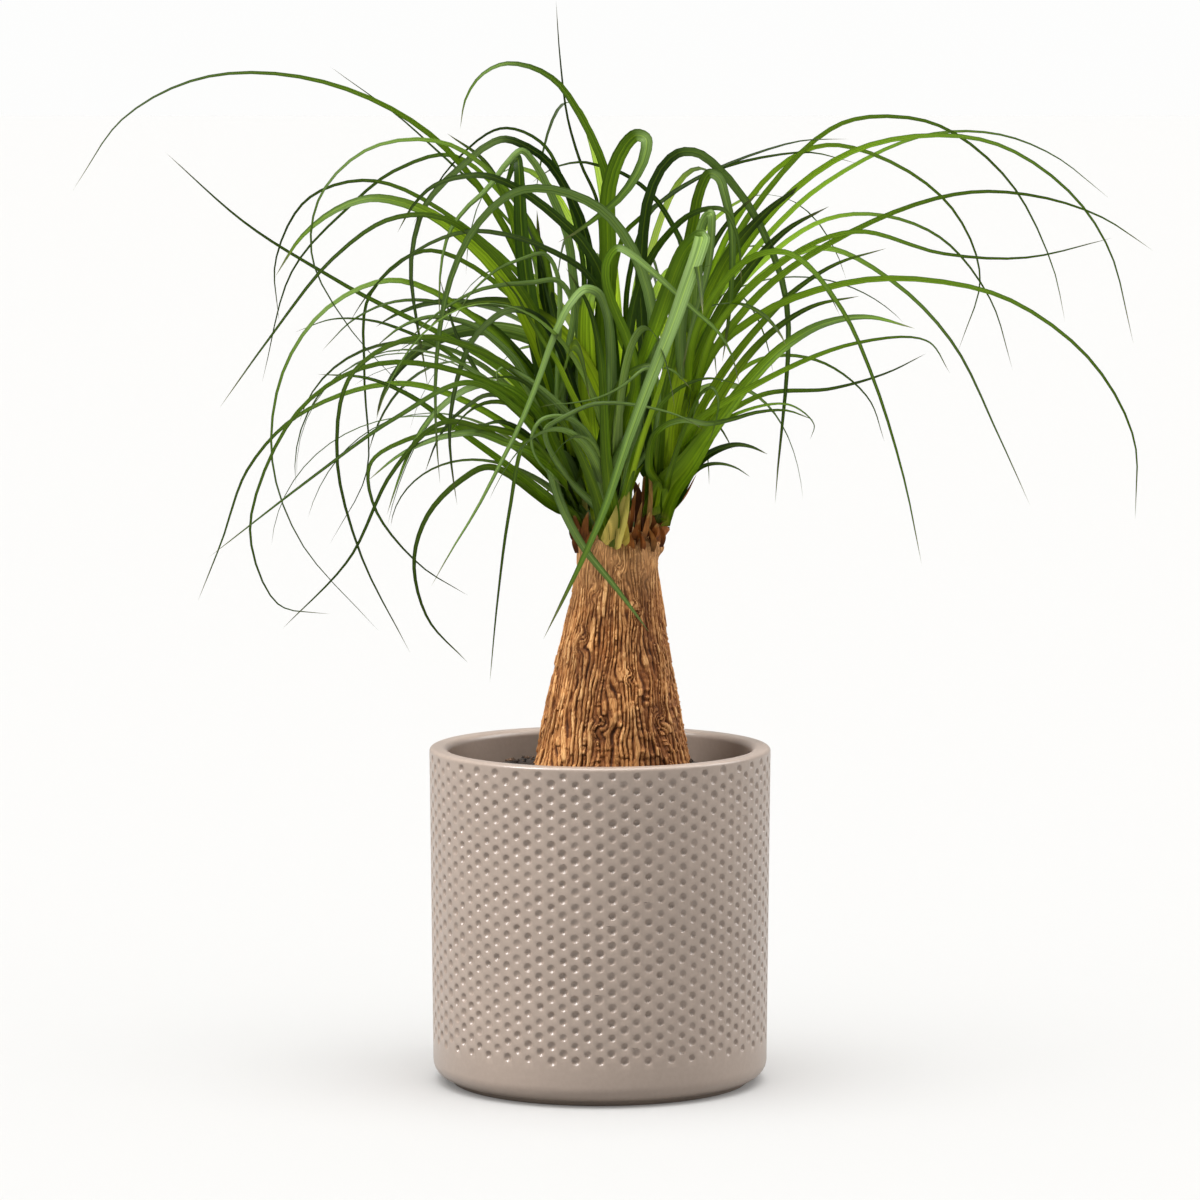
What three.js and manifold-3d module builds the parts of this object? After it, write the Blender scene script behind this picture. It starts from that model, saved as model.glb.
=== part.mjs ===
// A potted ponytail palm: a dimpled stoneware pot, soil, a corky trunk and four heads of long leaves.
// Millimetres, +Z up. The origin is the middle of the pot's foot, and the plant's front faces -Y.

import * as THREE from 'three';
import { mergeVertices } from 'three/addons/utils/BufferGeometryUtils.js';
import Module from 'manifold-3d';

const wasm = await Module();
wasm.setup();

// Driving dimensions

const GAP = 0.3; // between neighbouring pieces

const POT_HEIGHT = 177.5;
const POT_TOP_RADIUS = 90;
const POT_TAPER = 1.8; // how much smaller the radius is at the foot
const WALL = 10;
const LIP_ROUND = 3.6;
const CORNER_RADIUS = 9;
const FOOT_RADIUS = 79;
const FOOT_HEIGHT = 2.4;
const FLOOR_THICKNESS = 12;

const DIMPLE_COLUMNS = 40; // wider than life, so that the dimples show on few faces
const DIMPLE_LEVELS = 17;
const DIMPLE_DEPTH = 1.6;
const DIMPLES_FROM = 22;
const DIMPLES_TO = 171;
const POT_SIDES = (DIMPLE_COLUMNS * 3) / 2;

const SOIL_SIDES = 30;
const SOIL_AT_TRUNK = 167;
const SOIL_AT_WALL = 161;

const TRUNK_SIDES = 36;
const TRUNK_LEVEL_HEIGHT = 7.5;
const TRUNK_FOOT_RADIUS = 39.5;
const TRUNK_BASE = new THREE.Vector3(6.3, 0, 148);
const TRUNK_TOP = new THREE.Vector3(10, 0, 289);
const CROWN_RISE = 2; // the trunk's top is a low dome
const BARK_DEPTH = 1.5;

/** The trunk's radius by height, from the soil to the shoulder, as [height, radius]. */
const TRUNK_PROFILE = [
  [168, 41.5], [185, 37.9], [211, 33], [235, 28.2], [259, 23.5], [273, 21.4], [283, 22], [289, 19],
];

/** The sheath of a head from its foot up, as [radius, height]: leaf bases that wrap each other. */
const SHEATH_PROFILE = [[0, 0], [7, 0], [8, 18], [10.5, 36], [8, 50], [0, 56]];
const SHEATH_SIDES = 10;
const ROOTS_TO = 46; // the highest leaf root, along the sheath

const BLADE_THINNEST = 0.6;
const BLADE_TIP_WIDTH = 1.1;
const BLADE_KEEL = 0.15; // keel depth as a share of the blade's width
const BLADE_ROOT = 0.6; // width at the root as a share of the full width
const BLADE_STRETCH = 34; // length of one straight stretch of a blade
const BLADE_TURN = 24; // the most that a blade is turned about its own length, in degrees
const GOLDEN_SHARE = 0.618034;

// Materials

const finish = (color, roughness) =>
  new THREE.MeshStandardMaterial({ color, roughness, metalness: 0, flatShading: true });
const STONEWARE = finish(0xa3958a, 0.55);
const EARTH = finish(0x2b2119, 1);
const BARK = finish(0x96683f, 0.9);
const LEAF = finish(0x4b7a2c, 0.45);

// Helpers

const ORIGIN = new THREE.Vector3();
const UP = new THREE.Vector3(0, 0, 1);
const mix = (from, to, share) => from + (to - from) * share;
const radians = THREE.MathUtils.degToRad;
const { smoothstep } = THREE.MathUtils;

/** Random numbers from 0 to 1 that come out the same every time. */
function seeded(seed) {
  const [factor, modulus] = [16807, 2147483647];
  let state = seed;
  return () => {
    state = (state * factor) % modulus;
    return state / modulus;
  };
}

/** A closed geometry from points and the corners of its triangles. */
function meshOf(coordinates, corners) {
  const geometry = new THREE.BufferGeometry();
  geometry.setAttribute('position', new THREE.Float32BufferAttribute(coordinates, 3));
  geometry.setIndex(corners);
  return geometry;
}

/** A closed skin over a row of rings, with a point at each end. All rings have as many points, and a ring
 * whose half is 0.5 is turned by half a side, so that its neighbours meet it in a zigzag. */
function skin(start, rings, end) {
  const sides = rings[0].points.length;
  const points = [start, ...rings.flatMap((ring) => ring.points), end];
  const at = (ring, side) => 1 + ring * sides + (side % sides);
  const [first, last] = [0, points.length - 1];
  const corners = [];
  for (let side = 0; side < sides; side += 1) {
    corners.push(first, at(0, side + 1), at(0, side));
    corners.push(last, at(rings.length - 1, side), at(rings.length - 1, side + 1));
  }
  for (let ring = 0; ring + 1 < rings.length; ring += 1) {
    const turnsForward = rings[ring + 1].half > rings[ring].half;
    for (let side = 0; side < sides; side += 1) {
      const [a, b] = [at(ring, side), at(ring, side + 1)];
      const [c, d] = [at(ring + 1, side + 1), at(ring + 1, side)];
      corners.push(...(turnsForward ? [a, b, d, d, b, c] : [a, b, c, a, c, d]));
    }
  }
  return meshOf(points.flatMap((point) => point.toArray()), corners);
}

/** A level ring. Its radius and its lift may change with the angle and the side. */
function levelRing(sides, radius, z, { half = 0, centre = ORIGIN, lift = () => 0 } = {}) {
  const points = [];
  for (let side = 0; side < sides; side += 1) {
    const angle = ((side + half) / sides) * 2 * Math.PI;
    const reach = typeof radius === 'function' ? radius(angle, side) : radius;
    const [x, y] = [centre.x + reach * Math.cos(angle), centre.y + reach * Math.sin(angle)];
    points.push(new THREE.Vector3(x, y, z + lift(angle)));
  }
  return { points, half };
}

/** Turns a closed geometry into a solid that can be joined and cut. */
function solidOf(geometry) {
  const bare = geometry.clone();
  bare.deleteAttribute('normal');
  bare.deleteAttribute('uv');
  const merged = mergeVertices(bare, 1e-4);
  const vertProperties = new Float32Array(merged.attributes.position.array);
  const triVerts = new Uint32Array(merged.index.array);
  return new wasm.Manifold(new wasm.Mesh({ numProp: 3, vertProperties, triVerts }));
}

/** The largest body of a solid as a geometry, without the bubbles and scraps that joining can leave. */
function geometryOf(solid) {
  const [largest] = solid.decompose().sort((a, b) => b.volume() - a.volume());
  const { vertProperties, triVerts } = largest.getMesh();
  return meshOf(vertProperties, Array.from(triVerts));
}

/** Joins closed geometries into one solid. */
const fuse = (geometries) => wasm.Manifold.union(geometries.map(solidOf)).simplify(0.01);

// Pot

const potRadius = (z) => POT_TOP_RADIUS - POT_TAPER * (1 - z / POT_HEIGHT);
const boreRadius = (z) => potRadius(z) - WALL;
const RIM_HALF = (DIMPLE_LEVELS % 2) / 2;

/** The rings of the dimpled wall. Every third point of a level is the bottom of a dimple. */
function dimpleRings() {
  const rings = [];
  for (let level = 0; level <= DIMPLE_LEVELS; level += 1) {
    const z = mix(DIMPLES_FROM, DIMPLES_TO, level / DIMPLE_LEVELS);
    const pressedSide = level % 2;
    const isPressed = (side) => level > 0 && level < DIMPLE_LEVELS && side % 3 === pressedSide;
    const radius = (angle, side) => potRadius(z) - (isPressed(side) ? DIMPLE_DEPTH : 0);
    rings.push(levelRing(POT_SIDES, radius, z, { half: pressedSide / 2 }));
  }
  return rings;
}

/** The rounded edge between the foot and the wall. */
function cornerRings() {
  return [10, 45, 80].map((degrees) => {
    const inset = CORNER_RADIUS * (1 - Math.sin(radians(degrees)));
    const rise = CORNER_RADIUS * (1 - Math.cos(radians(degrees)));
    return levelRing(POT_SIDES, potRadius(0) - inset, FOOT_HEIGHT + rise);
  });
}

/** The rounded lip, from the outside over the top to the inside. */
function lipRings() {
  const low = POT_HEIGHT - LIP_ROUND;
  const bevel = LIP_ROUND * 0.3;
  const inner = POT_TOP_RADIUS - WALL;
  const outline = [
    [potRadius(low), low],
    [POT_TOP_RADIUS - bevel, POT_HEIGHT - bevel],
    [POT_TOP_RADIUS - LIP_ROUND, POT_HEIGHT],
    [inner + LIP_ROUND, POT_HEIGHT],
    [inner + bevel, POT_HEIGHT - bevel],
    [boreRadius(low), low],
  ];
  return outline.map(([radius, z]) => levelRing(POT_SIDES, radius, z, { half: RIM_HALF }));
}

function potGeometry() {
  const rings = [
    levelRing(POT_SIDES, FOOT_RADIUS, 0),
    levelRing(POT_SIDES, FOOT_RADIUS, FOOT_HEIGHT),
    ...cornerRings(),
    ...dimpleRings(),
    ...lipRings(),
    levelRing(POT_SIDES, boreRadius(FLOOR_THICKNESS), FLOOR_THICKNESS, { half: RIM_HALF }),
  ];
  return skin(ORIGIN, rings, new THREE.Vector3(0, 0, FLOOR_THICKNESS));
}

// Soil

/** The soil fills the pot to its wall. It has a lumpy top and a plain round hole for the trunk's foot. */
function soilGeometry() {
  const underside = FLOOR_THICKNESS + GAP;
  const holeFloor = TRUNK_BASE.z - GAP;
  const holeRadius = (TRUNK_FOOT_RADIUS + GAP) / Math.cos(Math.PI / SOIL_SIDES);
  const outerRadius = (z) => (boreRadius(z) - GAP) * Math.cos(Math.PI / POT_SIDES);
  const ring = (radius, z, more = {}) => levelRing(SOIL_SIDES, radius, z, { half: RIM_HALF, ...more });
  const surface = [0.75, 0.5, 0.25].map((share) => {
    const z = mix(SOIL_AT_TRUNK, SOIL_AT_WALL, share);
    const centre = TRUNK_BASE.clone().multiplyScalar(1 - share);
    const lift = (angle) => 1.3 * Math.sin(5 * angle + z) + 0.9 * Math.sin(11 * angle - 2 * z);
    return ring(mix(holeRadius, outerRadius(SOIL_AT_WALL), share), z, { centre, lift });
  });
  const rings = [
    ring(outerRadius(underside), underside),
    ring(outerRadius(SOIL_AT_WALL), SOIL_AT_WALL),
    ...surface,
    ring(holeRadius, SOIL_AT_TRUNK, { centre: TRUNK_BASE }),
    ring(holeRadius, holeFloor, { centre: TRUNK_BASE }),
  ];
  return skin(new THREE.Vector3(0, 0, underside), rings, TRUNK_BASE.clone().setZ(holeFloor));
}

// Leaves

/** The share of its full width that a blade has, from 0 at its root to 1 at its tip. */
const bladeTaper = (t) => mix(BLADE_ROOT, 1, smoothstep(t, 0, 0.3)) * Math.pow(1 - Math.pow(t, 1.8), 0.9);

/** A strap leaf along a path: flat above, with a shallow keel below, and pointed. */
function blade(path, width, turn) {
  const heading = path.at(-1).clone().sub(path[0]).setZ(0).normalize();
  const across = heading.cross(UP);
  const rings = path.slice(0, -1).map((place, index) => {
    const tangent = path[index + 1].clone().sub(path[Math.max(index - 1, 0)]).normalize();
    across.addScaledVector(tangent, -across.dot(tangent)).normalize();
    const side = across.clone().applyAxisAngle(tangent, turn);
    const below = tangent.clone().cross(side);
    const wide = Math.max(width * bladeTaper(index / (path.length - 1)), BLADE_TIP_WIDTH);
    const points = [
      place.clone().addScaledVector(side, wide / 2),
      place.clone().addScaledVector(below, Math.max(BLADE_KEEL * wide, BLADE_THINNEST)),
      place.clone().addScaledVector(side, -wide / 2),
    ];
    return { points, half: 0 };
  });
  const beforeRoot = path[0].clone().lerp(path[1], -1 / BLADE_STRETCH);
  return skin(beforeRoot, rings, path.at(-1));
}

/** Points at even steps along a smooth line through a few places. */
function smoothPath(places) {
  const curve = new THREE.CatmullRomCurve3(places, false, 'centripetal');
  const stretches = Math.round(curve.getLength() / BLADE_STRETCH);
  return curve.getSpacedPoints(THREE.MathUtils.clamp(stretches, 5, 13));
}

/** A leaf in an upright plane through the trunk's axis. Its places are [x, z] as seen from the front, and
 * the yaw in degrees swings the plane away from the viewer, or towards the viewer if negative. */
function fanned(width, yaw, ...places) {
  const slope = Math.tan(radians(yaw));
  const inPlane = ([x, z]) => new THREE.Vector3(x, Math.abs(x - TRUNK_TOP.x) * slope, z);
  return { width, places: places.map(inPlane) };
}

/** A leaf through places in space. */
const free = (width, ...places) => ({ width, places: places.map((place) => new THREE.Vector3(...place)) });

// The leaves that draw the plant's outline, each as its width and the places that it passes

const LEFT_LEAVES = [
  fanned(8, -8, [-40, 430], [-83, 495], [-140, 526], [-201, 530], [-245, 509], [-272, 471]),
  fanned(7, 12, [-42, 367], [-136, 420], [-187, 451], [-231, 489]),
  fanned(6, 30, [-30, 425], [-96, 498], [-145, 534]),
  fanned(8, -18, [-30, 440], [-74, 493], [-116, 494], [-143, 470], [-148, 438], [-130, 402], [-96, 363]),
  fanned(8, 22, [-28, 405], [-83, 458], [-123, 474], [-157, 463], [-174, 430], [-172, 397]),
  fanned(7, 34, [-30, 430], [-75, 486], [-109, 479], [-136, 458], [-168, 422], [-185, 361]),
  fanned(8, -30, [-30, 400], [-75, 455], [-106, 458], [-136, 438], [-167, 399], [-192, 364]),
  fanned(8, -12, [-40, 380], [-103, 424], [-139, 412], [-163, 380], [-170, 334], [-156, 290], [-115, 241]),
  fanned(7, -34, [-45, 365], [-110, 385], [-150, 365], [-172, 325], [-176, 298], [-163, 265], [-137, 258]),
  fanned(7, 8, [-40, 340], [-100, 368], [-156, 353], [-186, 323], [-201, 283], [-214, 251]),
  fanned(7, -42, [-35, 350], [-66, 374], [-104, 358], [-144, 331], [-193, 295]),
  fanned(7, -24, [-40, 335], [-80, 352], [-107, 327], [-129, 283], [-163, 248]),
  fanned(7, -5, [-35, 338], [-65, 347], [-102, 340], [-120, 328], [-118, 305], [-95, 275], [-69, 258]),
  fanned(7, 15, [-35, 400], [-90, 438], [-122, 414], [-125, 370], [-124, 320], [-144, 281]),
  fanned(7, -38, [-35, 370], [-90, 398], [-126, 380], [-133, 340], [-122, 290], [-97, 236]),
  fanned(8, -14, [-21, 303], [-57, 327], [-73, 320], [-90, 302], [-97, 278], [-90, 248], [-69, 224]),
  fanned(5, -40, [-25, 330], [-38, 342], [-47, 305], [-53, 260], [-57, 218]),
  fanned(10, -36, [-14, 400], [-12, 425], [-24, 404], [-45, 348], [-77, 287], [-89, 262]),
  fanned(9, -30, [-12, 400], [-14, 455], [-35, 477], [-58, 462], [-77, 427], [-86, 384], [-86, 340],
    [-68, 254]),
  fanned(8, -20, [-8, 400], [-6, 480], [-12, 516], [-33, 536], [-56, 534], [-73, 502]),
  fanned(6, 20, [-6, 400], [-5, 465], [-14, 502], [-20, 540], [-23, 569]),
  fanned(9, -34, [-20, 400], [-37, 450], [-40, 488], [-47, 494], [-58, 478], [-75, 440]),
  fanned(7, 26, [-8, 420], [-18, 470], [-30, 494], [-52, 502], [-78, 483], [-100, 450]),
];

const RIGHT_LEAVES = [
  fanned(8, 10, [50, 400], [84, 465], [125, 504], [160, 508], [186, 500], [218, 472], [240, 429],
    [247, 399]),
  fanned(8, -8, [50, 390], [84, 453], [125, 488], [165, 499], [205, 495], [241, 472], [263, 441],
    [276, 392]),
  fanned(7, 24, [55, 400], [95, 452], [125, 476], [172, 497], [212, 498], [245, 486], [277, 462]),
  fanned(8, -22, [50, 370], [84, 419], [138, 455], [185, 471], [221, 470], [253, 460], [279, 443]),
  fanned(7, -35, [60, 400], [100, 440], [131, 452], [172, 442], [212, 441], [253, 452]),
  fanned(8, -14, [45, 370], [84, 407], [131, 424], [172, 425], [212, 415], [252, 385], [274, 345],
    [275, 303]),
  fanned(7, 32, [60, 400], [110, 448], [145, 455], [185, 441], [213, 407], [226, 368]),
  fanned(7, 18, [60, 430], [90, 478], [119, 493], [158, 482], [189, 457], [203, 422], [191, 382]),
  fanned(8, 0, [50, 380], [90, 430], [118, 440], [154, 422], [185, 390], [209, 342], [226, 305]),
  fanned(8, -40, [50, 400], [75, 436], [98, 440], [122, 414], [138, 379], [153, 330], [162, 286]),
  fanned(8, -28, [45, 345], [84, 373], [131, 394], [167, 396], [178, 380]),
  fanned(7, 38, [50, 350], [84, 378], [118, 376], [146, 354], [155, 330]),
  fanned(8, 12, [45, 335], [84, 362], [122, 365], [152, 373], [173, 383]),
  fanned(6, -18, [45, 335], [70, 354], [98, 360], [111, 350], [109, 342]),
  fanned(9, -30, [27, 380], [24, 440], [27, 478], [44, 495], [68, 482], [88, 452], [100, 411], [92, 306]),
  fanned(9, -42, [38, 400], [49, 460], [58, 482], [68, 478], [71, 450], [68, 400]),
  fanned(8, 5, [45, 400], [57, 455], [64, 463], [70, 440], [70, 390]),
];

const FRONT_LEAVES = [
  free(11, [35, -45, 380], [51, -66, 436], [56, -74, 449], [50, -80, 436], [32, -84, 398],
    [13, -86, 341], [-30, -80, 234]),
  free(9, [-6, -30, 318], [-13, -42, 324], [-8, -52, 302], [5, -58, 270], [26, -62, 239]),
  free(8, [6, -30, 400], [3, -38, 458], [10, -44, 492], [19, -50, 502], [22, -56, 490],
    [-4, -64, 460], [-30, -68, 445]),
  free(8, [18, -30, 340], [32, -44, 380], [46, -56, 412], [60, -66, 428], [74, -78, 424]),
  free(9, [0, -26, 340], [-8, -36, 390], [-12, -44, 424], [-8, -52, 430], [2, -58, 412], [10, -62, 380]),
];

// Heads

/** Each head: where its foot stands, which way it leans, and the heading and spread, in degrees, of the
 * wedge that its leaves keep to. The fill leaves go from the inner ones to the outer ones: steepness at
 * the root, steepness at the tip, and length. */
const HEADS = [
  {
    name: 'head_left', seed: 11, foot: [-6, 0, 287], lean: [-0.42, 0, 0.9], heading: 180, spread: 47,
    leaves: LEFT_LEAVES, fill: 22, steepness: [80, 46], fall: [-84, -88], length: [330, 240],
  },
  {
    name: 'head_right', seed: 23, foot: [28, 0, 290], lean: [0.36, 0, 0.93], heading: 0, spread: 47,
    leaves: RIGHT_LEAVES, fill: 20, steepness: [80, 48], fall: [-62, -70], length: [330, 185],
  },
  {
    name: 'head_front', seed: 37, foot: [9, -16, 288], lean: [0, -0.28, 0.95], heading: -90, spread: 38,
    leaves: FRONT_LEAVES, fill: 20, steepness: [86, 58], fall: [-66, -62], length: [320, 195],
  },
  {
    name: 'head_back', seed: 41, foot: [12, 15, 288], lean: [0, 0.3, 0.95], heading: 90, spread: 38,
    leaves: [], fill: 28, steepness: [84, 46], fall: [-68, -85], length: [345, 250],
  },
];

/** The sheath that the leaves of a head rise from, grown on all sides by a margin. */
function sheath({ foot, lean }, margin = 0) {
  const outline = SHEATH_PROFILE.map(([radius, height]) => {
    const onAxis = radius === 0;
    return new THREE.Vector2(onAxis ? 0 : radius + margin, height === 0 ? -margin : height + margin);
  });
  const geometry = new THREE.LatheGeometry(outline, SHEATH_SIDES).rotateX(Math.PI / 2);
  const turn = new THREE.Quaternion().setFromUnitVectors(UP, new THREE.Vector3(...lean).normalize());
  return geometry.applyQuaternion(turn).translate(...foot);
}

/** The path of a leaf that rises from its root and arches over, bending more towards its tip. */
function archedPath(root, heading, length, steepAtRoot, steepAtTip) {
  const stretches = 8;
  const path = [root];
  for (let stretch = 0; stretch < stretches; stretch += 1) {
    const share = Math.pow((stretch + 0.5) / stretches, 1.35);
    const steep = radians(mix(steepAtRoot, steepAtTip, share));
    const step = new THREE.Vector3(Math.cos(heading), Math.sin(heading), 0).multiplyScalar(Math.cos(steep));
    step.setZ(Math.sin(steep));
    path.push(path.at(-1).clone().addScaledVector(step, length / stretches));
  }
  return path;
}

/** The leaves that fill a head. The golden share spreads their headings evenly over the wedge. */
function fillBlades({ heading, spread, fill, steepness, fall, length }, rootAt, random) {
  const blades = [];
  for (let leaf = 0; leaf < fill; leaf += 1) {
    const outward = (leaf + 0.5) / fill;
    const way = radians(heading + mix(-spread, spread, (leaf * GOLDEN_SHARE) % 1));
    const long = mix(...length, outward) * mix(0.8, 1.2, random());
    const rise = mix(...steepness, outward) + mix(-2, 2, random());
    const drop = mix(...fall, outward) + mix(-12, 12, random());
    const path = archedPath(rootAt(mix(0.85, 0.35, outward)), way, long, rise, drop);
    const width = mix(6, 8.5, random());
    blades.push(blade(path, width, radians(mix(-BLADE_TURN, BLADE_TURN, random()))));
  }
  return blades;
}

/** A head: its sheath, the placed leaves and the fill leaves, in one solid. */
function headGeometry(head) {
  const random = seeded(head.seed);
  const [foot, lean] = [new THREE.Vector3(...head.foot), new THREE.Vector3(...head.lean).normalize()];
  const rootAt = (share) => foot.clone().addScaledVector(lean, ROOTS_TO * share);
  const placed = head.leaves.map(({ width, places }) => {
    const rootShare = mix(0.3, 0.9, smoothstep(places[0].z, 310, 420));
    const turn = radians(mix(-BLADE_TURN, BLADE_TURN, random()));
    return blade(smoothPath([rootAt(rootShare), ...places]), width, turn);
  });
  return geometryOf(fuse([sheath(head), ...placed, ...fillBlades(head, rootAt, random)]));
}

// Trunk

/** The trunk's radius at a height, between the rows of its profile. */
function trunkRadius(z) {
  const above = Math.max(TRUNK_PROFILE.findIndex(([height]) => height >= z), 1);
  const [[lowHeight, lowRadius], [highHeight, highRadius]] = TRUNK_PROFILE.slice(above - 1, above + 1);
  return mix(lowRadius, highRadius, (z - lowHeight) / (highHeight - lowHeight));
}

/** How far the bark stands out: long corky plates that wander and break, deeper near the soil. */
function bark(angle, z) {
  const depth = BARK_DEPTH * mix(1, 0.45, smoothstep(z, 180, 280));
  const wander = 0.9 * Math.sin(z / 11 + 2 * angle) + 0.5 * Math.sin(z / 5 - 3 * angle);
  return depth * (0.7 * Math.sin(16 * angle + wander) + 0.3 * Math.sin(9 * angle - z / 7));
}

/** The middle of the trunk at a height. It leans a little to the right as it rises. */
function trunkCentre(z) {
  const rise = (z - TRUNK_BASE.z) / (TRUNK_TOP.z - TRUNK_BASE.z);
  return TRUNK_BASE.clone().lerp(TRUNK_TOP, rise * rise);
}

/** The trunk's body, on a plain round foot that stands in the soil. */
function trunkBody() {
  const foot = (z) => levelRing(TRUNK_SIDES, TRUNK_FOOT_RADIUS, z, { centre: TRUNK_BASE });
  const rings = [foot(TRUNK_BASE.z), foot(SOIL_AT_TRUNK + GAP)];
  const [low, high] = [TRUNK_PROFILE[0][0] + 2, TRUNK_TOP.z];
  const levels = Math.round((high - low) / TRUNK_LEVEL_HEIGHT);
  for (let level = 0; level <= levels; level += 1) {
    const z = mix(low, high, level / levels);
    const radius = (angle) => trunkRadius(z) + bark(angle, z);
    rings.push(levelRing(TRUNK_SIDES, radius, z, { centre: trunkCentre(z) }));
  }
  return skin(TRUNK_BASE, rings, TRUNK_TOP.clone().setZ(TRUNK_TOP.z + CROWN_RISE));
}

/** A round knob of old wood at the trunk's shoulder. */
const knob = (right, behind, below, radius) =>
  new THREE.IcosahedronGeometry(radius, 1).translate(TRUNK_TOP.x + right, behind, TRUNK_TOP.z - below);

/** A dry leaf base: a short stiff scale that stands between two heads. */
function dryScale(degrees, distance, height, width) {
  const outward = new THREE.Vector3(1, 0, 0).applyAxisAngle(UP, radians(degrees));
  const root = TRUNK_TOP.clone().addScaledVector(outward, distance).setZ(TRUNK_TOP.z - 6);
  const tip = root.clone().addScaledVector(outward, height * 0.2).setZ(root.z + height);
  return blade(smoothPath([root, root.clone().lerp(tip, 0.5), tip]), width, Math.PI / 2);
}

/** The trunk with its knobs and dry leaf bases, and a socket for the sheath of each head. */
function trunkGeometry() {
  const knobs = [knob(-17.5, 0, 6, 6.5), knob(18, -2, 5, 7), knob(2, 18, 7, 6.5)];
  const scalesBetween = (way) => [dryScale(way, 14, 40, 7), dryScale(way, 18, 26, 8)];
  const scales = [-135, -45, 45, 135].flatMap(scalesBetween);
  const sockets = HEADS.map((head) => solidOf(sheath(head, GAP)));
  const whole = fuse([trunkBody(), ...knobs, ...scales]);
  return geometryOf(whole.subtract(wasm.Manifold.union(sockets)));
}

// The whole plant

const part = new THREE.Group();

function add(name, geometry, material) {
  const mesh = new THREE.Mesh(geometry, material);
  mesh.name = name;
  part.add(mesh);
}

add('pot', potGeometry(), STONEWARE);
add('soil', soilGeometry(), EARTH);
add('trunk', trunkGeometry(), BARK);
HEADS.forEach((head) => add(head.name, headGeometry(head), LEAF));

export default part;
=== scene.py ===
"""A potted ponytail palm, dressed in full detail around its CAD part.

Metres, +Z up, in the CAD part's own frame: the pot stands on z = 0, its axis is the Z axis, and the
plant's front faces -Y. Sizes are written in millimetres and turned into metres by MM.
"""

from __future__ import annotations

import logging
import math
import random
from collections.abc import Callable, Iterator, Sequence
from contextlib import contextmanager
from dataclasses import dataclass
from enum import Enum
from functools import cache

import bmesh
import bpy
import numpy as np
from bpy.types import ID, Collection, Material, Mesh, Node, NodeSocket, NodeTree, Object
from mathutils import Matrix, Quaternion, Vector, noise

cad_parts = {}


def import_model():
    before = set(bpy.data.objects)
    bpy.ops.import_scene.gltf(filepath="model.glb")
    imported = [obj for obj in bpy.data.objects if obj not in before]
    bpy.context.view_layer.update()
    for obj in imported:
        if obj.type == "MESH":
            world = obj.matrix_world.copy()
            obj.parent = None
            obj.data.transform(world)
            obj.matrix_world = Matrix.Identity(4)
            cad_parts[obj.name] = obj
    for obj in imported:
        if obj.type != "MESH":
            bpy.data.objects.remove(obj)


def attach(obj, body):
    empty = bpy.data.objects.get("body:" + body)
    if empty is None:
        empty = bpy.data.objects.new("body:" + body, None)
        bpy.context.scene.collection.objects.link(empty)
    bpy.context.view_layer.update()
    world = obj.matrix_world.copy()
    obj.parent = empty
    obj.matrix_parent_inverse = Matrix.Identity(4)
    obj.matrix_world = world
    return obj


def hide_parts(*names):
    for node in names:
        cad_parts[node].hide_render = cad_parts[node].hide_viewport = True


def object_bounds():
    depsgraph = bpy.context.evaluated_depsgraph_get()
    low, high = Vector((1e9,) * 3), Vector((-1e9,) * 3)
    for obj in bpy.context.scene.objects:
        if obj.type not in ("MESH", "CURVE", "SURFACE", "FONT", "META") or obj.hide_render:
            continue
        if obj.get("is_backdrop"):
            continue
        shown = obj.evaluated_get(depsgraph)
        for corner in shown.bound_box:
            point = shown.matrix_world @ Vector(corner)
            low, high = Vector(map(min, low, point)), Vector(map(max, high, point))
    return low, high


log = logging.getLogger("palm")

MM = 0.001
FULL_TURN = 2 * math.pi
UP = Vector((0.0, 0.0, 1.0))
FRONT = Vector((0.0, -1.0, 0.0))
EYE = (0.0, -3.0, 0.56)  # where the camera stands
GOLDEN_SHARE = 0.618034
SEAM = 0.01 * MM  # vertices nearer than this are one

Colour = tuple[float, float, float]
Place = tuple[float, float, float]
Pair = tuple[float, float]
Inputs = dict[str | int, object]  # what goes into a node's sockets, by name or number


class Slot(Enum):
    """The material slots."""

    STONEWARE = "stoneware"
    SOIL = "soil"
    BARK = "bark"
    LEAF = "leaf"


class Mark(Enum):
    """The attributes that pieces carry for their finishes."""

    PRESS = "press"  # 0 on the pot's wall, 1 at the bottom of a dimple
    RELIEF = "relief"  # 0 in a fissure of the bark, 1 on a plate
    TONE = "tone"  # 0 for a dark leaf or crumb, 1 for a bright one
    FRESH = "fresh"  # 0 for an old leaf, 1 for a young one
    UPPER = "upper"  # 1 on a leaf's upper side, 0 on its underside
    OVER = "over"  # 0 where a leaf climbs, 1 where it has turned over and falls, where a sheen is painted on it


# Small sums


def mix(low: float, high: float, share: float) -> float:
    """Returns the value that lies a share of the way from low to high."""
    return low + (high - low) * share


def smoothstep(value: float, low: float, high: float) -> float:
    """Eases from 0 where the value is low to 1 where it is high, and returns that share."""
    share = min(max((value - low) / (high - low), 0.0), 1.0)
    return share * share * (3 - 2 * share)


def screen(*channels: int) -> Colour:
    """Turns a colour as a screen shows it into the linear one that a shader takes.

    Args:
        *channels: Red, green and blue, from 0 to 255.

    Returns:
        The linear red, green and blue, from 0 to 1.
    """
    shares = (channel / 255 for channel in channels)
    linear = [s / 12.92 if s <= 0.04045 else ((s + 0.055) / 1.055) ** 2.4 for s in shares]
    return linear[0], linear[1], linear[2]


def level_way(angle: float) -> Vector:
    """Returns the level way of unit length at an angle from +X, in radians."""
    return Vector((math.cos(angle), math.sin(angle), 0.0))


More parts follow.
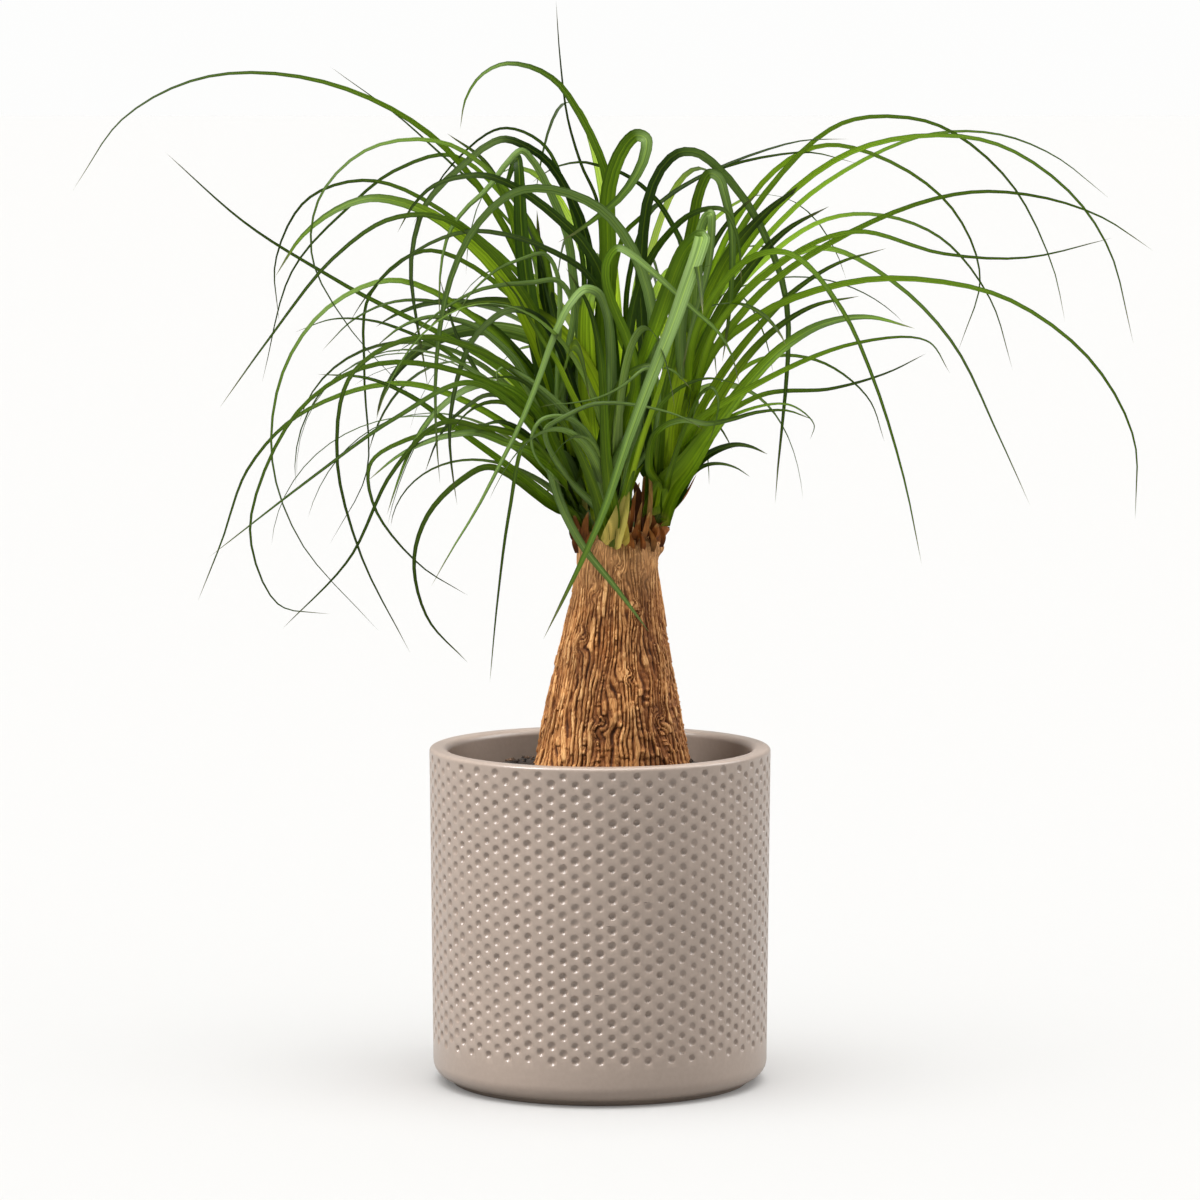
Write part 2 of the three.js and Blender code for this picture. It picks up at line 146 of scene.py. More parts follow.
def seeded(seed: int) -> Callable[[], float]:
    """Makes the same run of random numbers as the CAD part's source.

    Args:
        seed: Where the run starts.

    Returns:
        A function that gives the next number, from 0 to 1.
    """
    factor, modulus = 16807, 2147483647
    state = seed

    def draw() -> float:
        """Returns the next number of the run."""
        nonlocal state
        state = state * factor % modulus
        return state / modulus

    return draw


# Handling of meshes


def select_only(piece: Object) -> None:
    """Selects one object and makes it the active one."""
    bpy.ops.object.select_all(action="DESELECT")
    piece.select_set(True)
    bpy.context.view_layer.objects.active = piece


@contextmanager
def edited(piece: Object) -> Iterator[Object]:
    """Holds a piece in edit mode, with all of it selected at first.

    Args:
        piece: The mesh object to edit.

    Yields:
        The same object.
    """
    select_only(piece)
    bpy.ops.object.mode_set(mode="EDIT")
    bpy.ops.mesh.select_all(action="SELECT")
    yield piece
    bpy.ops.object.mode_set(mode="OBJECT")


def select_where(piece: Object, test: Callable[[Vector], bool]) -> None:
    """Selects the vertices of a piece in edit mode by their place, and nothing else.

    Args:
        piece: The mesh object that is in edit mode.
        test: Tells of a place whether a vertex there is wanted.
    """
    bpy.ops.mesh.select_all(action="DESELECT")
    shape = bmesh.from_edit_mesh(piece.data)
    for vertex in shape.verts:
        vertex.select = test(vertex.co)
    shape.select_flush(True)
    bmesh.update_edit_mesh(piece.data)


def added(name: str, operator: Callable[..., set[str]], **sizes: object) -> Object:
    """Adds a primitive and names it.

    Args:
        name: The new object's name.
        operator: The primitive's operator.
        **sizes: What the operator is given.

    Returns:
        The new object.
    """
    bpy.ops.object.select_all(action="DESELECT")
    operator(**sizes)
    piece = bpy.context.active_object
    piece.name = piece.data.name = name
    return piece


def with_modifier(piece: Object, kind: str, **settings: object) -> Object:
    """Gives a piece a modifier and applies it.

    Args:
        piece: The mesh object to change.
        kind: The modifier's type.
        **settings: The modifier's own settings.

    Returns:
        The same object.
    """
    select_only(piece)
    modifier = piece.modifiers.new(kind.title(), kind)
    for setting, value in settings.items():
        setattr(modifier, setting, value)
    bpy.ops.object.modifier_apply(modifier=modifier.name)
    return piece


def joined(name: str, pieces: Sequence[Object]) -> Object:
    """Joins several objects into one and merges the vertices where they meet.

    Args:
        name: The joined object's name.
        pieces: The objects to join. Only the first one is left.

    Returns:
        The joined object.
    """
    select_only(pieces[0])
    for piece in pieces[1:]:
        piece.select_set(True)
    bpy.ops.object.join()
    whole = pieces[0]
    whole.name = whole.data.name = name
    with edited(whole):
        bpy.ops.mesh.remove_doubles(threshold=SEAM)
    return whole


def repeated(piece: Object, count: int, step: Place) -> Object:
    """Repeats a piece in a row of so many, each a step on from the last, and returns it."""
    settings = {"use_relative_offset": False, "use_constant_offset": True, "constant_offset_displace": step}
    return with_modifier(piece, "ARRAY", count=count, **settings)


def linked(name: str, data: ID) -> Object:
    """Makes an object that shows some data in the scene.

    Args:
        name: The object's name.
        data: A mesh, a light or a camera.

    Returns:
        The object.
    """
    piece = bpy.data.objects.new(name, data)
    bpy.context.collection.objects.link(piece)
    return piece


def turned(name: str, outline: Sequence[Pair], steps: int) -> Object:
    """Turns an outline round the Z axis, as on a potter's wheel.

    Args:
        name: The piece's name.
        outline: Its points, as radius and height.
        steps: How many faces go round.

    Returns:
        The turned shell.
    """
    mesh = bpy.data.meshes.new(name)
    points = [(0.0, -radius, height) for radius, height in outline]
    mesh.from_pydata(points, [(step, step + 1) for step in range(len(points) - 1)], [])
    piece = linked(name, mesh)
    with edited(piece):
        bpy.ops.mesh.spin(steps=steps, angle=FULL_TURN, center=(0, 0, 0), axis=(0, 0, 1))
        bpy.ops.mesh.remove_doubles(threshold=SEAM)
    return piece


def faced_outwards(piece: Object) -> Object:
    """Makes all faces of a closed piece point outwards and returns the piece."""
    with edited(piece):
        bpy.ops.mesh.normals_make_consistent(inside=False)
    return piece


def places_of(mesh: Mesh) -> np.ndarray:
    """Returns the vertices of a mesh as rows of x, y and z."""
    return np.array([vertex.co for vertex in mesh.vertices])


def put_places(mesh: Mesh, places: np.ndarray) -> None:
    """Moves the vertices of a mesh to rows of x, y and z."""
    mesh.vertices.foreach_set("co", places.ravel())
    mesh.update()


def corner_places(mesh: Mesh) -> np.ndarray:
    """Returns where each face's corners are in a mesh, as rows of x, y and z."""
    return places_of(mesh)[[corner.vertex_index for corner in mesh.loops]]


def put_marks(mesh: Mesh, mark: Mark, values: np.ndarray | float, domain: str = "POINT") -> None:
    """Writes a number for each vertex of a mesh, or each face if the domain is FACE, or one for all."""
    layer = mesh.attributes.get(mark.value) or mesh.attributes.new(mark.value, "FLOAT", domain)
    layer.data.foreach_set("value", np.full(len(layer.data), values, dtype=np.float32))


def finished(
    piece: Object, finish: Material, slot: Slot, crease: float, stands_for: str = ""
) -> None:
    """Dresses a piece, fixes it to the part and reports it.

    Args:
        piece: The piece, in place.
        finish: Its material.
        slot: The slot that the finish belongs to. It is not used.
        crease: The angle in degrees above which an edge stays sharp.
        stands_for: The CAD node that the piece is seen in place of, if any.
    """
    select_only(piece)
    bpy.ops.object.shade_smooth_by_angle(angle=math.radians(crease))
    piece.data.materials.clear()
    piece.data.materials.append(finish)
    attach(piece, "root")
    if stands_for:
        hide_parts(stands_for)
    triangles = sum(len(face.vertices) - 2 for face in piece.data.polygons)
    log.info("%s: %d triangles, finish %s", piece.name, triangles, finish.name)


# Finishes


class Bench:
    """A shader tree in the making. It adds nodes, fills their sockets and wires them."""

    def __init__(self, tree: NodeTree) -> None:
        """Starts work on a tree."""
        self.tree = tree

    def fill(self, node: Node, inputs: Inputs) -> Node:
        """Puts plain values or other nodes' outputs into a node's sockets.

        Args:
            node: The node.
            inputs: What goes in, by the name or number of its socket.

        Returns:
            The same node.
        """
        for key, value in inputs.items():
            if isinstance(value, NodeSocket):
                self.tree.links.new(value, node.inputs[key])
            else:
                node.inputs[key].default_value = value
        return node

    def add(self, kind: str, inputs: Inputs | None = None, **settings: object) -> Node:
        """Adds a node.

        Args:
            kind: The node's type, without its prefix.
            inputs: What goes into its sockets.
            **settings: The node's own settings.

        Returns:
            The new node.
        """
        node = self.tree.nodes.new(f"ShaderNode{kind}")
        for setting, value in settings.items():
            setattr(node, setting, value)
        return self.fill(node, inputs or {})

    def group(self, tree: NodeTree, **inputs: object) -> Node:
        """Places a shared effect, with what goes into its named sockets, and returns its node."""
        return self.add("Group", inputs, node_tree=tree)

    def coat(self, **inputs: object) -> Node:
        """Fills the Principled shader's sockets, whose names have _ for a space, and returns the shader."""
        named = {name.replace("_", " "): value for name, value in inputs.items()}
        return self.fill(self.tree.nodes["Principled BSDF"], named)

    def sum(self, operation: str, *values: object) -> NodeSocket:
        """Adds a Math node with these values and returns its output."""
        return self.add("Math", dict(enumerate(values)), operation=operation).outputs[0]

    def product(self, first: object, second: object) -> NodeSocket:
        """Multiplies two values or outputs and returns the output."""
        return self.sum("MULTIPLY", first, second)

    def blend(self, share: object, first: object, second: object, way: str = "MIX") -> NodeSocket:
        """Blends a share of a second colour into a first, each plain or an output, and returns the output."""
        inputs = {0: share, 6: opaque(first), 7: opaque(second)}
        return self.add("Mix", inputs, data_type="RGBA", blend_type=way, clamp_factor=True).outputs[2]

    def ramp(self, share: NodeSocket, *stops: tuple[float, Colour]) -> NodeSocket:
        """Reads a colour from a row of colours.

        Args:
            share: Where to read, from 0 to 1.
            *stops: The place and colour of each stop.

        Returns:
            The colour.
        """
        node = self.add("ValToRGB", {0: share})
        elements = node.color_ramp.elements
        while len(elements) < len(stops):
            elements.new(1.0)
        for element, (position, colour) in zip(elements, stops):
            element.position = position
            element.color = opaque(colour)
        return node.outputs[0]

    def remap(
        self, value: object, low: float, high: float, to_low: float = 0.0, to_high: float = 1.0
    ) -> NodeSocket:
        """Maps the range from low to high smoothly onto another one and returns the output."""
        inputs = {0: value, 1: low, 2: high, 3: to_low, 4: to_high}
        return self.add("MapRange", inputs, interpolation_type="SMOOTHSTEP").outputs[0]

    def cloud(self, place: object, scale: object, detail: float) -> Node:
        """Adds noise of a scale and a fineness, read at a place, and returns its node."""
        return self.add("TexNoise", {"Vector": place, "Scale": scale, "Detail": detail})

    def bump(self, strength: float, distance: float, height: NodeSocket) -> NodeSocket:
        """Turns heights into a bumpy surface and returns its normal."""
        return self.add("Bump", {"Strength": strength, "Distance": distance, "Height": height}).outputs[0]

    def mark(self, mark: Mark) -> NodeSocket:
        """Returns the value of one of the piece's own attributes."""
        return self.add("Attribute", attribute_name=mark.value).outputs["Fac"]

    def place(self) -> NodeSocket:
        """Returns the place on the object, in metres."""
        return self.add("TexCoord").outputs["Object"]

    def sheet(self) -> tuple[NodeSocket, NodeSocket]:
        """Returns where on a leaf's flat sheet a place is: the shares of its width and of its length."""
        split = self.add("SeparateXYZ", {0: self.add("UVMap", uv_map=LeafBlank.UV).outputs[0]})
        return split.outputs[0], split.outputs[1]


def opaque(colour: object) -> object:
    """Returns a colour with full alpha, or an output as it is."""
    return (*colour, 1.0) if isinstance(colour, tuple) else colour


def new_effect(
    name: str, inputs: dict[str, str], outputs: dict[str, str]
) -> tuple[Bench, dict[str, NodeSocket], Node]:
    """Starts a shared effect as a node group.

    Args:
        name: The group's name.
        inputs: The name and kind of each input.
        outputs: The name and kind of each output.

    Returns:
        The bench for the group's tree, its inputs by name, and its output node.
    """
    tree = bpy.data.node_groups.new(name, "ShaderNodeTree")
    for side, sockets in (("INPUT", inputs), ("OUTPUT", outputs)):
        for socket, kind in sockets.items():
            tree.interface.new_socket(socket, in_out=side, socket_type=f"NodeSocket{kind}")
    start = tree.nodes.new("NodeGroupInput")
    end = tree.nodes.new("NodeGroupOutput")
    return Bench(tree), {socket: start.outputs[socket] for socket in inputs}, end


@cache
def mottle_effect() -> NodeTree:
    """Builds the effect that makes a colour uneven, as glaze, earth and living tissue are.

    Returns:
        A group from a place, a scale, an amount and a colour to a colour and the pattern itself.
    """
    bench, given, end = new_effect(
        "Mottle",
        {"Vector": "Vector", "Scale": "Float", "Amount": "Float", "Color": "Color"},
        {"Color": "Color", "Pattern": "Float"},
    )
    cloud = bench.cloud(given["Vector"], given["Scale"], 4.0)
    pattern = bench.remap(cloud.outputs["Fac"], 0.3, 0.7, -1.0, 1.0)
    strength = bench.sum("MULTIPLY_ADD", pattern, given["Amount"], 1.0)
    grey = bench.add("CombineColor", {0: strength, 1: strength, 2: strength}).outputs[0]
    bench.fill(end, {"Color": bench.blend(1.0, given["Color"], grey, "MULTIPLY"), "Pattern": pattern})
    return bench.tree


@cache
def fibre_effect() -> NodeTree:
    """Builds the effect of long wandering fibres, as in bark and dry leaves.

    Returns:
        A group from a place, fibres per metre across and along, and a wander to a value, low between
        fibres, and to fine cracks.
    """
    bench, given, end = new_effect(
        "Fibre",
        {"Vector": "Vector", "Across": "Float", "Along": "Float", "Wander": "Float"},
        {"Fibre": "Float", "Crack": "Float"},
    )
    density = bench.add("CombineXYZ", {0: given["Across"], 1: given["Across"], 2: given["Along"]}).outputs[0]
    straight = bench.add("VectorMath", {0: given["Vector"], 1: density}, operation="MULTIPLY").outputs[0]
    drift = bench.cloud(straight, 0.35, 2.0).outputs["Color"]
    push = bench.add("VectorMath", {0: drift, 3: given["Wander"]}, operation="SCALE").outputs[0]
    bent = bench.add("VectorMath", {0: straight, 1: push}, operation="ADD").outputs[0]
    fibre = bench.remap(bench.cloud(bent, 1.0, 3.0).outputs["Fac"], 0.3, 0.7)
    cells = bench.add("TexVoronoi", {"Vector": bent, "Scale": 1.0}, feature="DISTANCE_TO_EDGE")
    bench.fill(end, {"Fibre": fibre, "Crack": bench.remap(cells.outputs["Distance"], 0.0, 0.13)})
    return bench.tree


@dataclass(frozen=True)
class Finish:
    """What every finish has: a name and one Principled shader."""

    name: str

    def make(self) -> Material:
        """Builds the material.

        Returns:
            The material.
        """
        material = bpy.data.materials.new(self.name)
        material.use_nodes = True
        self.dress(Bench(material.node_tree))
        return material

    def dress(self, bench: Bench) -> None:
        """Fills the shader's sockets, at the bench for the material's tree."""
        raise NotImplementedError


@dataclass(frozen=True)
class StonewareFinish(Finish):
    """Satin taupe glaze that is a little uneven, and darker in the dimples: partly glaze that pools there,
    partly painted shade.
    """

    name: str = "satin stoneware"
    glaze: Colour = screen(154, 138, 126)
    # the dimples' darker colour and its share: partly pooled glaze, partly painted shade
    pooled_and_shaded: Colour = screen(112, 95, 85)
    pooling_and_shade: float = 0.25

    def dress(self, bench: Bench) -> None:
        """Makes the glaze.

        Args:
            bench: The material's bench.
        """
        place = bench.place()
        broad = bench.group(mottle_effect(), Vector=place, Scale=16.0, Amount=0.035, Color=opaque(self.glaze))
        even = broad.outputs["Color"]
        fine = bench.group(mottle_effect(), Vector=place, Scale=420.0, Amount=0.03, Color=even)
        # Darker the deeper into a dimple: partly pooled glaze, partly painted shade.
        pooled_and_shaded = bench.product(bench.mark(Mark.PRESS), self.pooling_and_shade)
        colour = bench.blend(pooled_and_shaded, fine.outputs["Color"], self.pooled_and_shaded)
        roughness = bench.remap(broad.outputs["Pattern"], -1.0, 1.0, 0.34, 0.46)
        bump = bench.bump(0.12, 0.4 * MM, bench.cloud(place, 260.0, 3.0).outputs["Fac"])
        bench.coat(Base_Color=colour, Roughness=roughness, Normal=bump, Coat_Weight=0.35, Coat_Roughness=0.28)


@dataclass(frozen=True)
class EarthFinish(Finish):
    """Dark potting soil, each crumb with its own tone."""

    name: str = "potting soil"
    dark: Colour = screen(26, 19, 14)
    light: Colour = screen(92, 68, 48)

    def dress(self, bench: Bench) -> None:
        """Makes the soil's surface.

        Args:
            bench: The material's bench.
        """
        tone = bench.blend(bench.mark(Mark.TONE), self.dark, self.light)
        crumb = bench.group(mottle_effect(), Vector=bench.place(), Scale=700.0, Amount=0.4, Color=tone)
        bump = bench.bump(0.6, 0.5 * MM, crumb.outputs["Pattern"])
        bench.coat(Base_Color=crumb.outputs["Color"], Roughness=0.95, Normal=bump)


@dataclass(frozen=True)
class BarkFinish(Finish):
    """Corky bark: tan plates with dark upright fissures between them, paler where it is young."""

    name: str = "corky bark"
    fissure: Colour = screen(46, 20, 4)
    shade: Colour = screen(124, 70, 27)
    plate: Colour = screen(200, 138, 78)
    crest: Colour = screen(240, 192, 132)
    young_from: float = 245 * MM
    young_to: float = 295 * MM

    def dress(self, bench: Bench) -> None:
        """Makes the bark.

        Args:
            bench: The material's bench.
        """
        place = bench.place()
        strands = bench.group(fibre_effect(), Vector=place, Across=640.0, Along=70.0, Wander=1.2)
        grain = bench.group(fibre_effect(), Vector=place, Across=1000.0, Along=190.0, Wander=2.6)
        young = bench.remap(bench.add("SeparateXYZ", {0: place}).outputs[2], self.young_from, self.young_to)
        crack = bench.remap(strands.outputs["Crack"], 0.0, 1.0, 0.7, 1.0)
        eased = bench.sum("MAXIMUM", crack, bench.product(young, 0.6))
        split = bench.product(bench.mark(Mark.RELIEF), eased)
        stops = ((0.0, self.fissure), (0.38, self.shade), (0.78, self.plate), (1.0, self.crest))
        colour = bench.ramp(split, *stops)
        fibres = bench.ramp(grain.outputs["Fibre"], (0.0, self.shade), (1.0, self.crest))
        streaked = bench.blend(bench.remap(split, 0.2, 0.8, 0.0, 0.3), colour, fibres)
        paler = bench.blend(bench.product(young, 0.28), streaked, self.crest)
        patched = bench.group(mottle_effect(), Vector=place, Scale=55.0, Amount=0.19, Color=paler)
        bump = bench.bump(0.8, 0.6 * MM, bench.sum("MULTIPLY_ADD", grain.outputs["Fibre"], 0.3, eased))
        bench.coat(Base_Color=patched.outputs["Color"], Roughness=0.7, Normal=bump, Specular_IOR_Level=0.25)


@dataclass(frozen=True)
class HuskFinish(Finish):
    """Dry papery leaf bases: brown, with darker streaks and a beige tip, and darkened as painted shade where
    they fill the gaps.
    """

    name: str = "dry husk"
    foot: Colour = screen(58, 26, 8)
    middle: Colour = screen(154, 90, 32)
    tip: Colour = screen(210, 168, 98)

    def dress(self, bench: Bench) -> None:
        """Makes the husks' surface.

        Args:
            bench: The material's bench.
        """
        _, along = bench.sheet()
        colour = bench.ramp(along, (0.0, self.foot), (0.5, self.middle), (0.85, self.middle), (1.0, self.tip))
        streaks = bench.group(fibre_effect(), Vector=bench.place(), Across=900.0, Along=120.0, Wander=0.8)
        tone = bench.mark(Mark.TONE)
        lighter = bench.blend(bench.remap(tone, 0.4, 1.0, 0.0, 0.7), colour, self.tip)
        # Low tones darken towards the foot's colour: painted shade for the husks in the gaps.
        toned = bench.blend(bench.remap(tone, 0.0, 0.4, 0.8, 0.0), lighter, self.foot)
        streaked = bench.blend(bench.product(streaks.outputs["Fibre"], 0.45), toned, self.foot)
        bump = bench.bump(0.5, 0.3 * MM, streaks.outputs["Fibre"])
        bench.coat(Base_Color=streaked, Roughness=0.7, Normal=bump, Specular_IOR_Level=0.25)


@dataclass(frozen=True)
class LeafFinish(Finish):
    """A strap leaf: pale at the foot, yellow-green when young, dark at the tip. Light shines through it."""

    name: str = "strap leaf"
    foot: Colour = screen(236, 212, 122)
    young: Colour = screen(184, 214, 36)
    grown: Colour = screen(104, 144, 22)
    old: Colour = screen(9, 31, 1)
    tip: Colour = screen(20, 38, 8)
    dry: Colour = screen(104, 96, 70)
    # also the colour that the painted sheen pales a leaf towards where it turns over
    underside: Colour = screen(130, 156, 94)
    shone_through: Colour = screen(180, 220, 10)
    between_veins: Colour = (0.54, 0.6, 0.42)
    on_veins: Colour = (1.26, 1.22, 1.15)
    thinness: float = 0.3

    def dress(self, bench: Bench) -> None:
        """Makes the leaf's two sides, with painted shade at its edges, a paler middle that is partly painted
        highlight and a painted sheen where it turns over, and lets light through it.

        Args:
            bench: The material's bench.
        """
        across, along = bench.sheet()
        tone, over = bench.mark(Mark.TONE), bench.mark(Mark.OVER)
        green = bench.blend(tone, self.old, self.grown)
        youth = bench.product(bench.mark(Mark.FRESH), bench.remap(along, 0.15, 0.8, 0.95, 0.12))
        body = bench.blend(youth, green, self.young)
        below = bench.product(bench.sum("SUBTRACT", 1.0, bench.mark(Mark.UPPER)), 0.7)
        # Painted sheen: where a leaf has turned over and falls, it pales towards the underside's colour.
        sheen_where_turned = bench.product(over, bench.remap(along, 0.65, 0.98, 1.0, 0.2))
        underside_and_sheen = bench.blend(bench.sum("MAXIMUM", below, sheen_where_turned), body, self.underside)
        footed = bench.blend(bench.remap(along, -0.05, 0.07, 1.0, 0.0), underside_and_sheen, self.foot)
        darker = bench.product(bench.remap(along, 0.45, 0.85, 0.0, 0.85), bench.sum("SUBTRACT", 1.0, over))
        tipped = bench.blend(darker, footed, self.tip)
        dried = bench.blend(bench.remap(along, 0.93, 1.0, 0.0, 0.9), tipped, self.dry)
        veins = self.veins(bench, across, along)
        lines = bench.ramp(veins, (0.0, self.between_veins), (1.0, self.on_veins))
        striped = bench.blend(1.0, dried, lines, "MULTIPLY")
        ridge = bench.sum("ABSOLUTE", bench.sum("SUBTRACT", across, 0.5))
        # Painted shade: the leaf darkens towards its edges, as a channelled leaf is shaded there.
        edge_shaded = bench.blend(bench.remap(ridge, 0.25, 0.5, 0.0, 0.35), striped, self.old)
        # A paler line down the middle: partly the midrib, partly a painted highlight.
        colour = bench.blend(bench.remap(ridge, 0.0, 0.06, 0.22, 0.0), edge_shaded, self.young)
        bump = bench.bump(0.25, 0.15 * MM, veins)
        roughness = bench.remap(tone, 0.0, 1.0, 0.38, 0.5)
        skin = bench.coat(Base_Color=colour, Roughness=roughness, Normal=bump, Specular_IOR_Level=0.16)
        glow = bench.blend(0.45, colour, self.shone_through)
        thin = bench.add("BsdfTranslucent", {"Color": glow, "Normal": bump})
        both = bench.add("MixShader", {0: self.thinness, 1: skin.outputs[0], 2: thin.outputs[0]})
        bench.fill(bench.tree.nodes["Material Output"], {"Surface": both.outputs[0]})

    @staticmethod
    def veins(bench: Bench, across: NodeSocket, along: NodeSocket) -> NodeSocket:
        """Returns the fine veins that run the length of a leaf, from 0 between them to 1 on them."""
        sheet = bench.add("CombineXYZ", {0: bench.product(across, 11.0), 1: bench.product(along, 3.0)})
        return bench.remap(bench.cloud(sheet.outputs[0], 1.0, 2.0).outputs["Fac"], 0.3, 0.7)


@dataclass(frozen=True)
class TableFinish(Finish):
    """A white table, which glows for the camera as a lit one does."""

    name: str = "lit white table"
    colour: Colour = (0.72, 0.715, 0.705)
    glow_colour: Colour = (1.0, 1.0, 0.992)
    glow: float = 0.11

    def dress(self, bench: Bench) -> None:
        """Makes the table's surface.

        Args:
            bench: The material's bench.
        """
        glow = bench.product(bench.add("LightPath").outputs["Is Camera Ray"], self.glow)
        bench.coat(Base_Color=opaque(self.colour), Roughness=1.0, Specular_IOR_Level=0.0)
        bench.coat(Emission_Color=opaque(self.glow_colour), Emission_Strength=glow)


# The pot


@dataclass(frozen=True)
class Pot:
    """The dimpled stoneware pot. Its wall is one dimple, repeated and wrapped round the pot."""

    height: float = 177.5 * MM
    top_radius: float = 90 * MM
    taper: float = 1.8 * MM
    wall: float = 10 * MM
    lip_outside: float = 1.9 * MM
    lip_inside: float = 3.4 * MM
    lip_steps: int = 6
    corner: float = 9 * MM
    corner_steps: int = 8
    corner_start: float = 6  # degrees
    foot_radius: float = 79 * MM
    foot_height: float = 2.4 * MM
    foot_bevel: float = 0.6 * MM
    floor: float = 12 * MM
    inner_levels: Pair = (150 * MM, 80 * MM)
    columns: int = 88
    rows: int = 19
    pitch: float = 8 * MM
    corners: int = 12  # of the circle that a dimple starts from, and on its cell's border
    rings: tuple[Pair, ...] = (
        (2.6, 0.0), (2.3, 0.12), (1.9, 0.62), (1.15, 1.12),
    )  # a dimple's radius and depth, ring by ring, in millimetres
    dimple_reach: float = 2.7 * MM
    dimple_depth: float = 1.42 * MM
    dimple_rise: float = 1.2 * MM  # how far a dimple sits above the middle of its cell
    unevenness: float = 0.35 * MM
    growth: Pair = (0.84, 1.08)  # the sizes of the dimples
    pressing: Pair = (0.65, 1.15)  # how deep they are pressed
    seed: int = 5

    @property
    def column_width(self) -> float:
        """The width of a column of dimples on the unrolled wall."""
        return FULL_TURN * self.top_radius / self.columns

    @property
    def band_foot(self) -> float:
        """The height at which the dimples begin. They end where the lip begins."""
        return self.height - self.lip_outside - (self.rows + 0.5) * self.pitch

    def radius(self, height: float) -> float:
        """Returns the wall's outer radius at a height."""
        return self.top_radius - self.taper * (1 - height / self.height)

    def dimple(self) -> Object:
        """Models one dimple in its plain rectangle of wall, lying flat, with its outside up.

        Returns:
            A shell with twelve points on its border, which meet those of its neighbours.
        """
        circle = {"vertices": self.corners, "radius": self.pitch, "fill_type": "NGON"}
        piece = added("dimple", bpy.ops.mesh.primitive_circle_add, **circle)
        with edited(piece):
            reach, level = self.pitch, 0.0
            for radius, depth in self.rings:
                inwards = (reach - radius * MM) * math.cos(math.pi / self.corners)
                bpy.ops.mesh.inset(thickness=inwards, depth=(level - depth) * MM)
                reach, level = radius * MM, depth
            bpy.ops.mesh.poke(offset=level * MM - self.dimple_depth)
        half = [(1, 0), (1, 0.5), (1, 1), (0, 1), (-1, 1), (-1, 0.5)]
        border = [*half, *((-x, -y) for x, y in half)]
        for vertex in piece.data.vertices:
            if vertex.co.xy.length > 0.9 * self.pitch:
                turn = math.atan2(vertex.co.y, vertex.co.x) / FULL_TURN
                x, y = border[round(turn * self.corners) % self.corners]
                vertex.co.xy = (x * self.column_width / 2, y * self.pitch / 2)
        return piece

    def filler(self, name: str, column: int, height: float) -> Object:
        """Models the plain half cell that levels a column at its end.

        Args:
            name: The piece's name.
            column: 0 or 1, the column of the pair.
            height: The middle of the half cell, above the band's foot.

        Returns:
            A flat grid of two by two faces.
        """
        piece = added(name, bpy.ops.mesh.primitive_grid_add, x_subdivisions=2, y_subdivisions=2, size=1.0)
        with edited(piece):
            bpy.ops.transform.resize(value=(self.column_width, self.pitch / 2, 1.0))
            bpy.ops.transform.translate(value=(column * self.column_width, height, 0.0))
        return piece

    def sheet(self) -> Object:
        """Repeats the dimple into the whole unrolled wall.

        Returns:
            The wall, lying flat.
        """
        first = self.dimple()
        select_only(first)
        bpy.ops.object.duplicate()
        second = bpy.context.active_object
        columns = []
        for column, piece in enumerate((first, second)):
            with edited(piece):
                shift = (column * self.column_width, (column + 1) * self.pitch / 2, 0.0)
                bpy.ops.transform.translate(value=shift)
            columns.append(repeated(piece, self.rows, (0.0, self.pitch, 0.0)))
        top = (self.rows + 0.25) * self.pitch
        ends = [self.filler("even end", 0, top), self.filler("odd end", 1, self.pitch / 4)]
        pair = joined("pair", [*columns, *ends])
        return joined("dimpled wall", [repeated(pair, self.columns // 2, (2 * self.column_width, 0.0, 0.0))])

    def pressed(self, places: np.ndarray) -> tuple[np.ndarray, np.ndarray]:
        """Makes the dimples a little uneven, as if they were pressed by hand.

        Args:
            places: The vertices of the unrolled wall.

        Returns:
            The moved vertices, and how deep each is pressed, from 0 to 1.
        """
        draws = np.random.default_rng(self.seed)
        column = np.round(places[:, 0] / self.column_width).astype(int)
        lift = np.where(column % 2 == 0, 0.5, 1.0) * self.pitch
        row = np.clip(np.round((places[:, 1] - lift) / self.pitch).astype(int), 0, self.rows - 1)
        middle = np.stack([column * self.column_width, row * self.pitch + lift], axis=1)
        inside = np.hypot(*(places[:, :2] - middle).T) < self.dimple_reach
        shape = (self.columns + 1, self.rows)
        shift = draws.uniform(-self.unevenness, self.unevenness, (*shape, 2))[column, row]
        growth = draws.uniform(*self.growth, shape)[column, row]
        depth = draws.uniform(*self.pressing, shape)[column, row]
        moved = places.copy()
        raised = middle + (0.0, self.dimple_rise) + shift
        moved[inside, :2] = (raised + (places[:, :2] - middle) * growth[:, None])[inside]
        moved[:, 2] *= depth
        return moved, np.clip(-places[:, 2] / self.dimple_depth, 0.0, 1.0)

    def band(self) -> Object:
        """Wraps the unrolled wall round the pot.

        Returns:
            The dimpled band.
        """
        piece = self.sheet()
        places, press = self.pressed(places_of(piece.data))
        angle = places[:, 0] / self.top_radius - math.pi / 2
        height = places[:, 1] + self.band_foot
        reach = self.radius(height) + places[:, 2]
        put_places(piece.data, np.stack([reach * np.cos(angle), reach * np.sin(angle), height], axis=1))
        put_marks(piece.data, Mark.PRESS, press)
        return piece

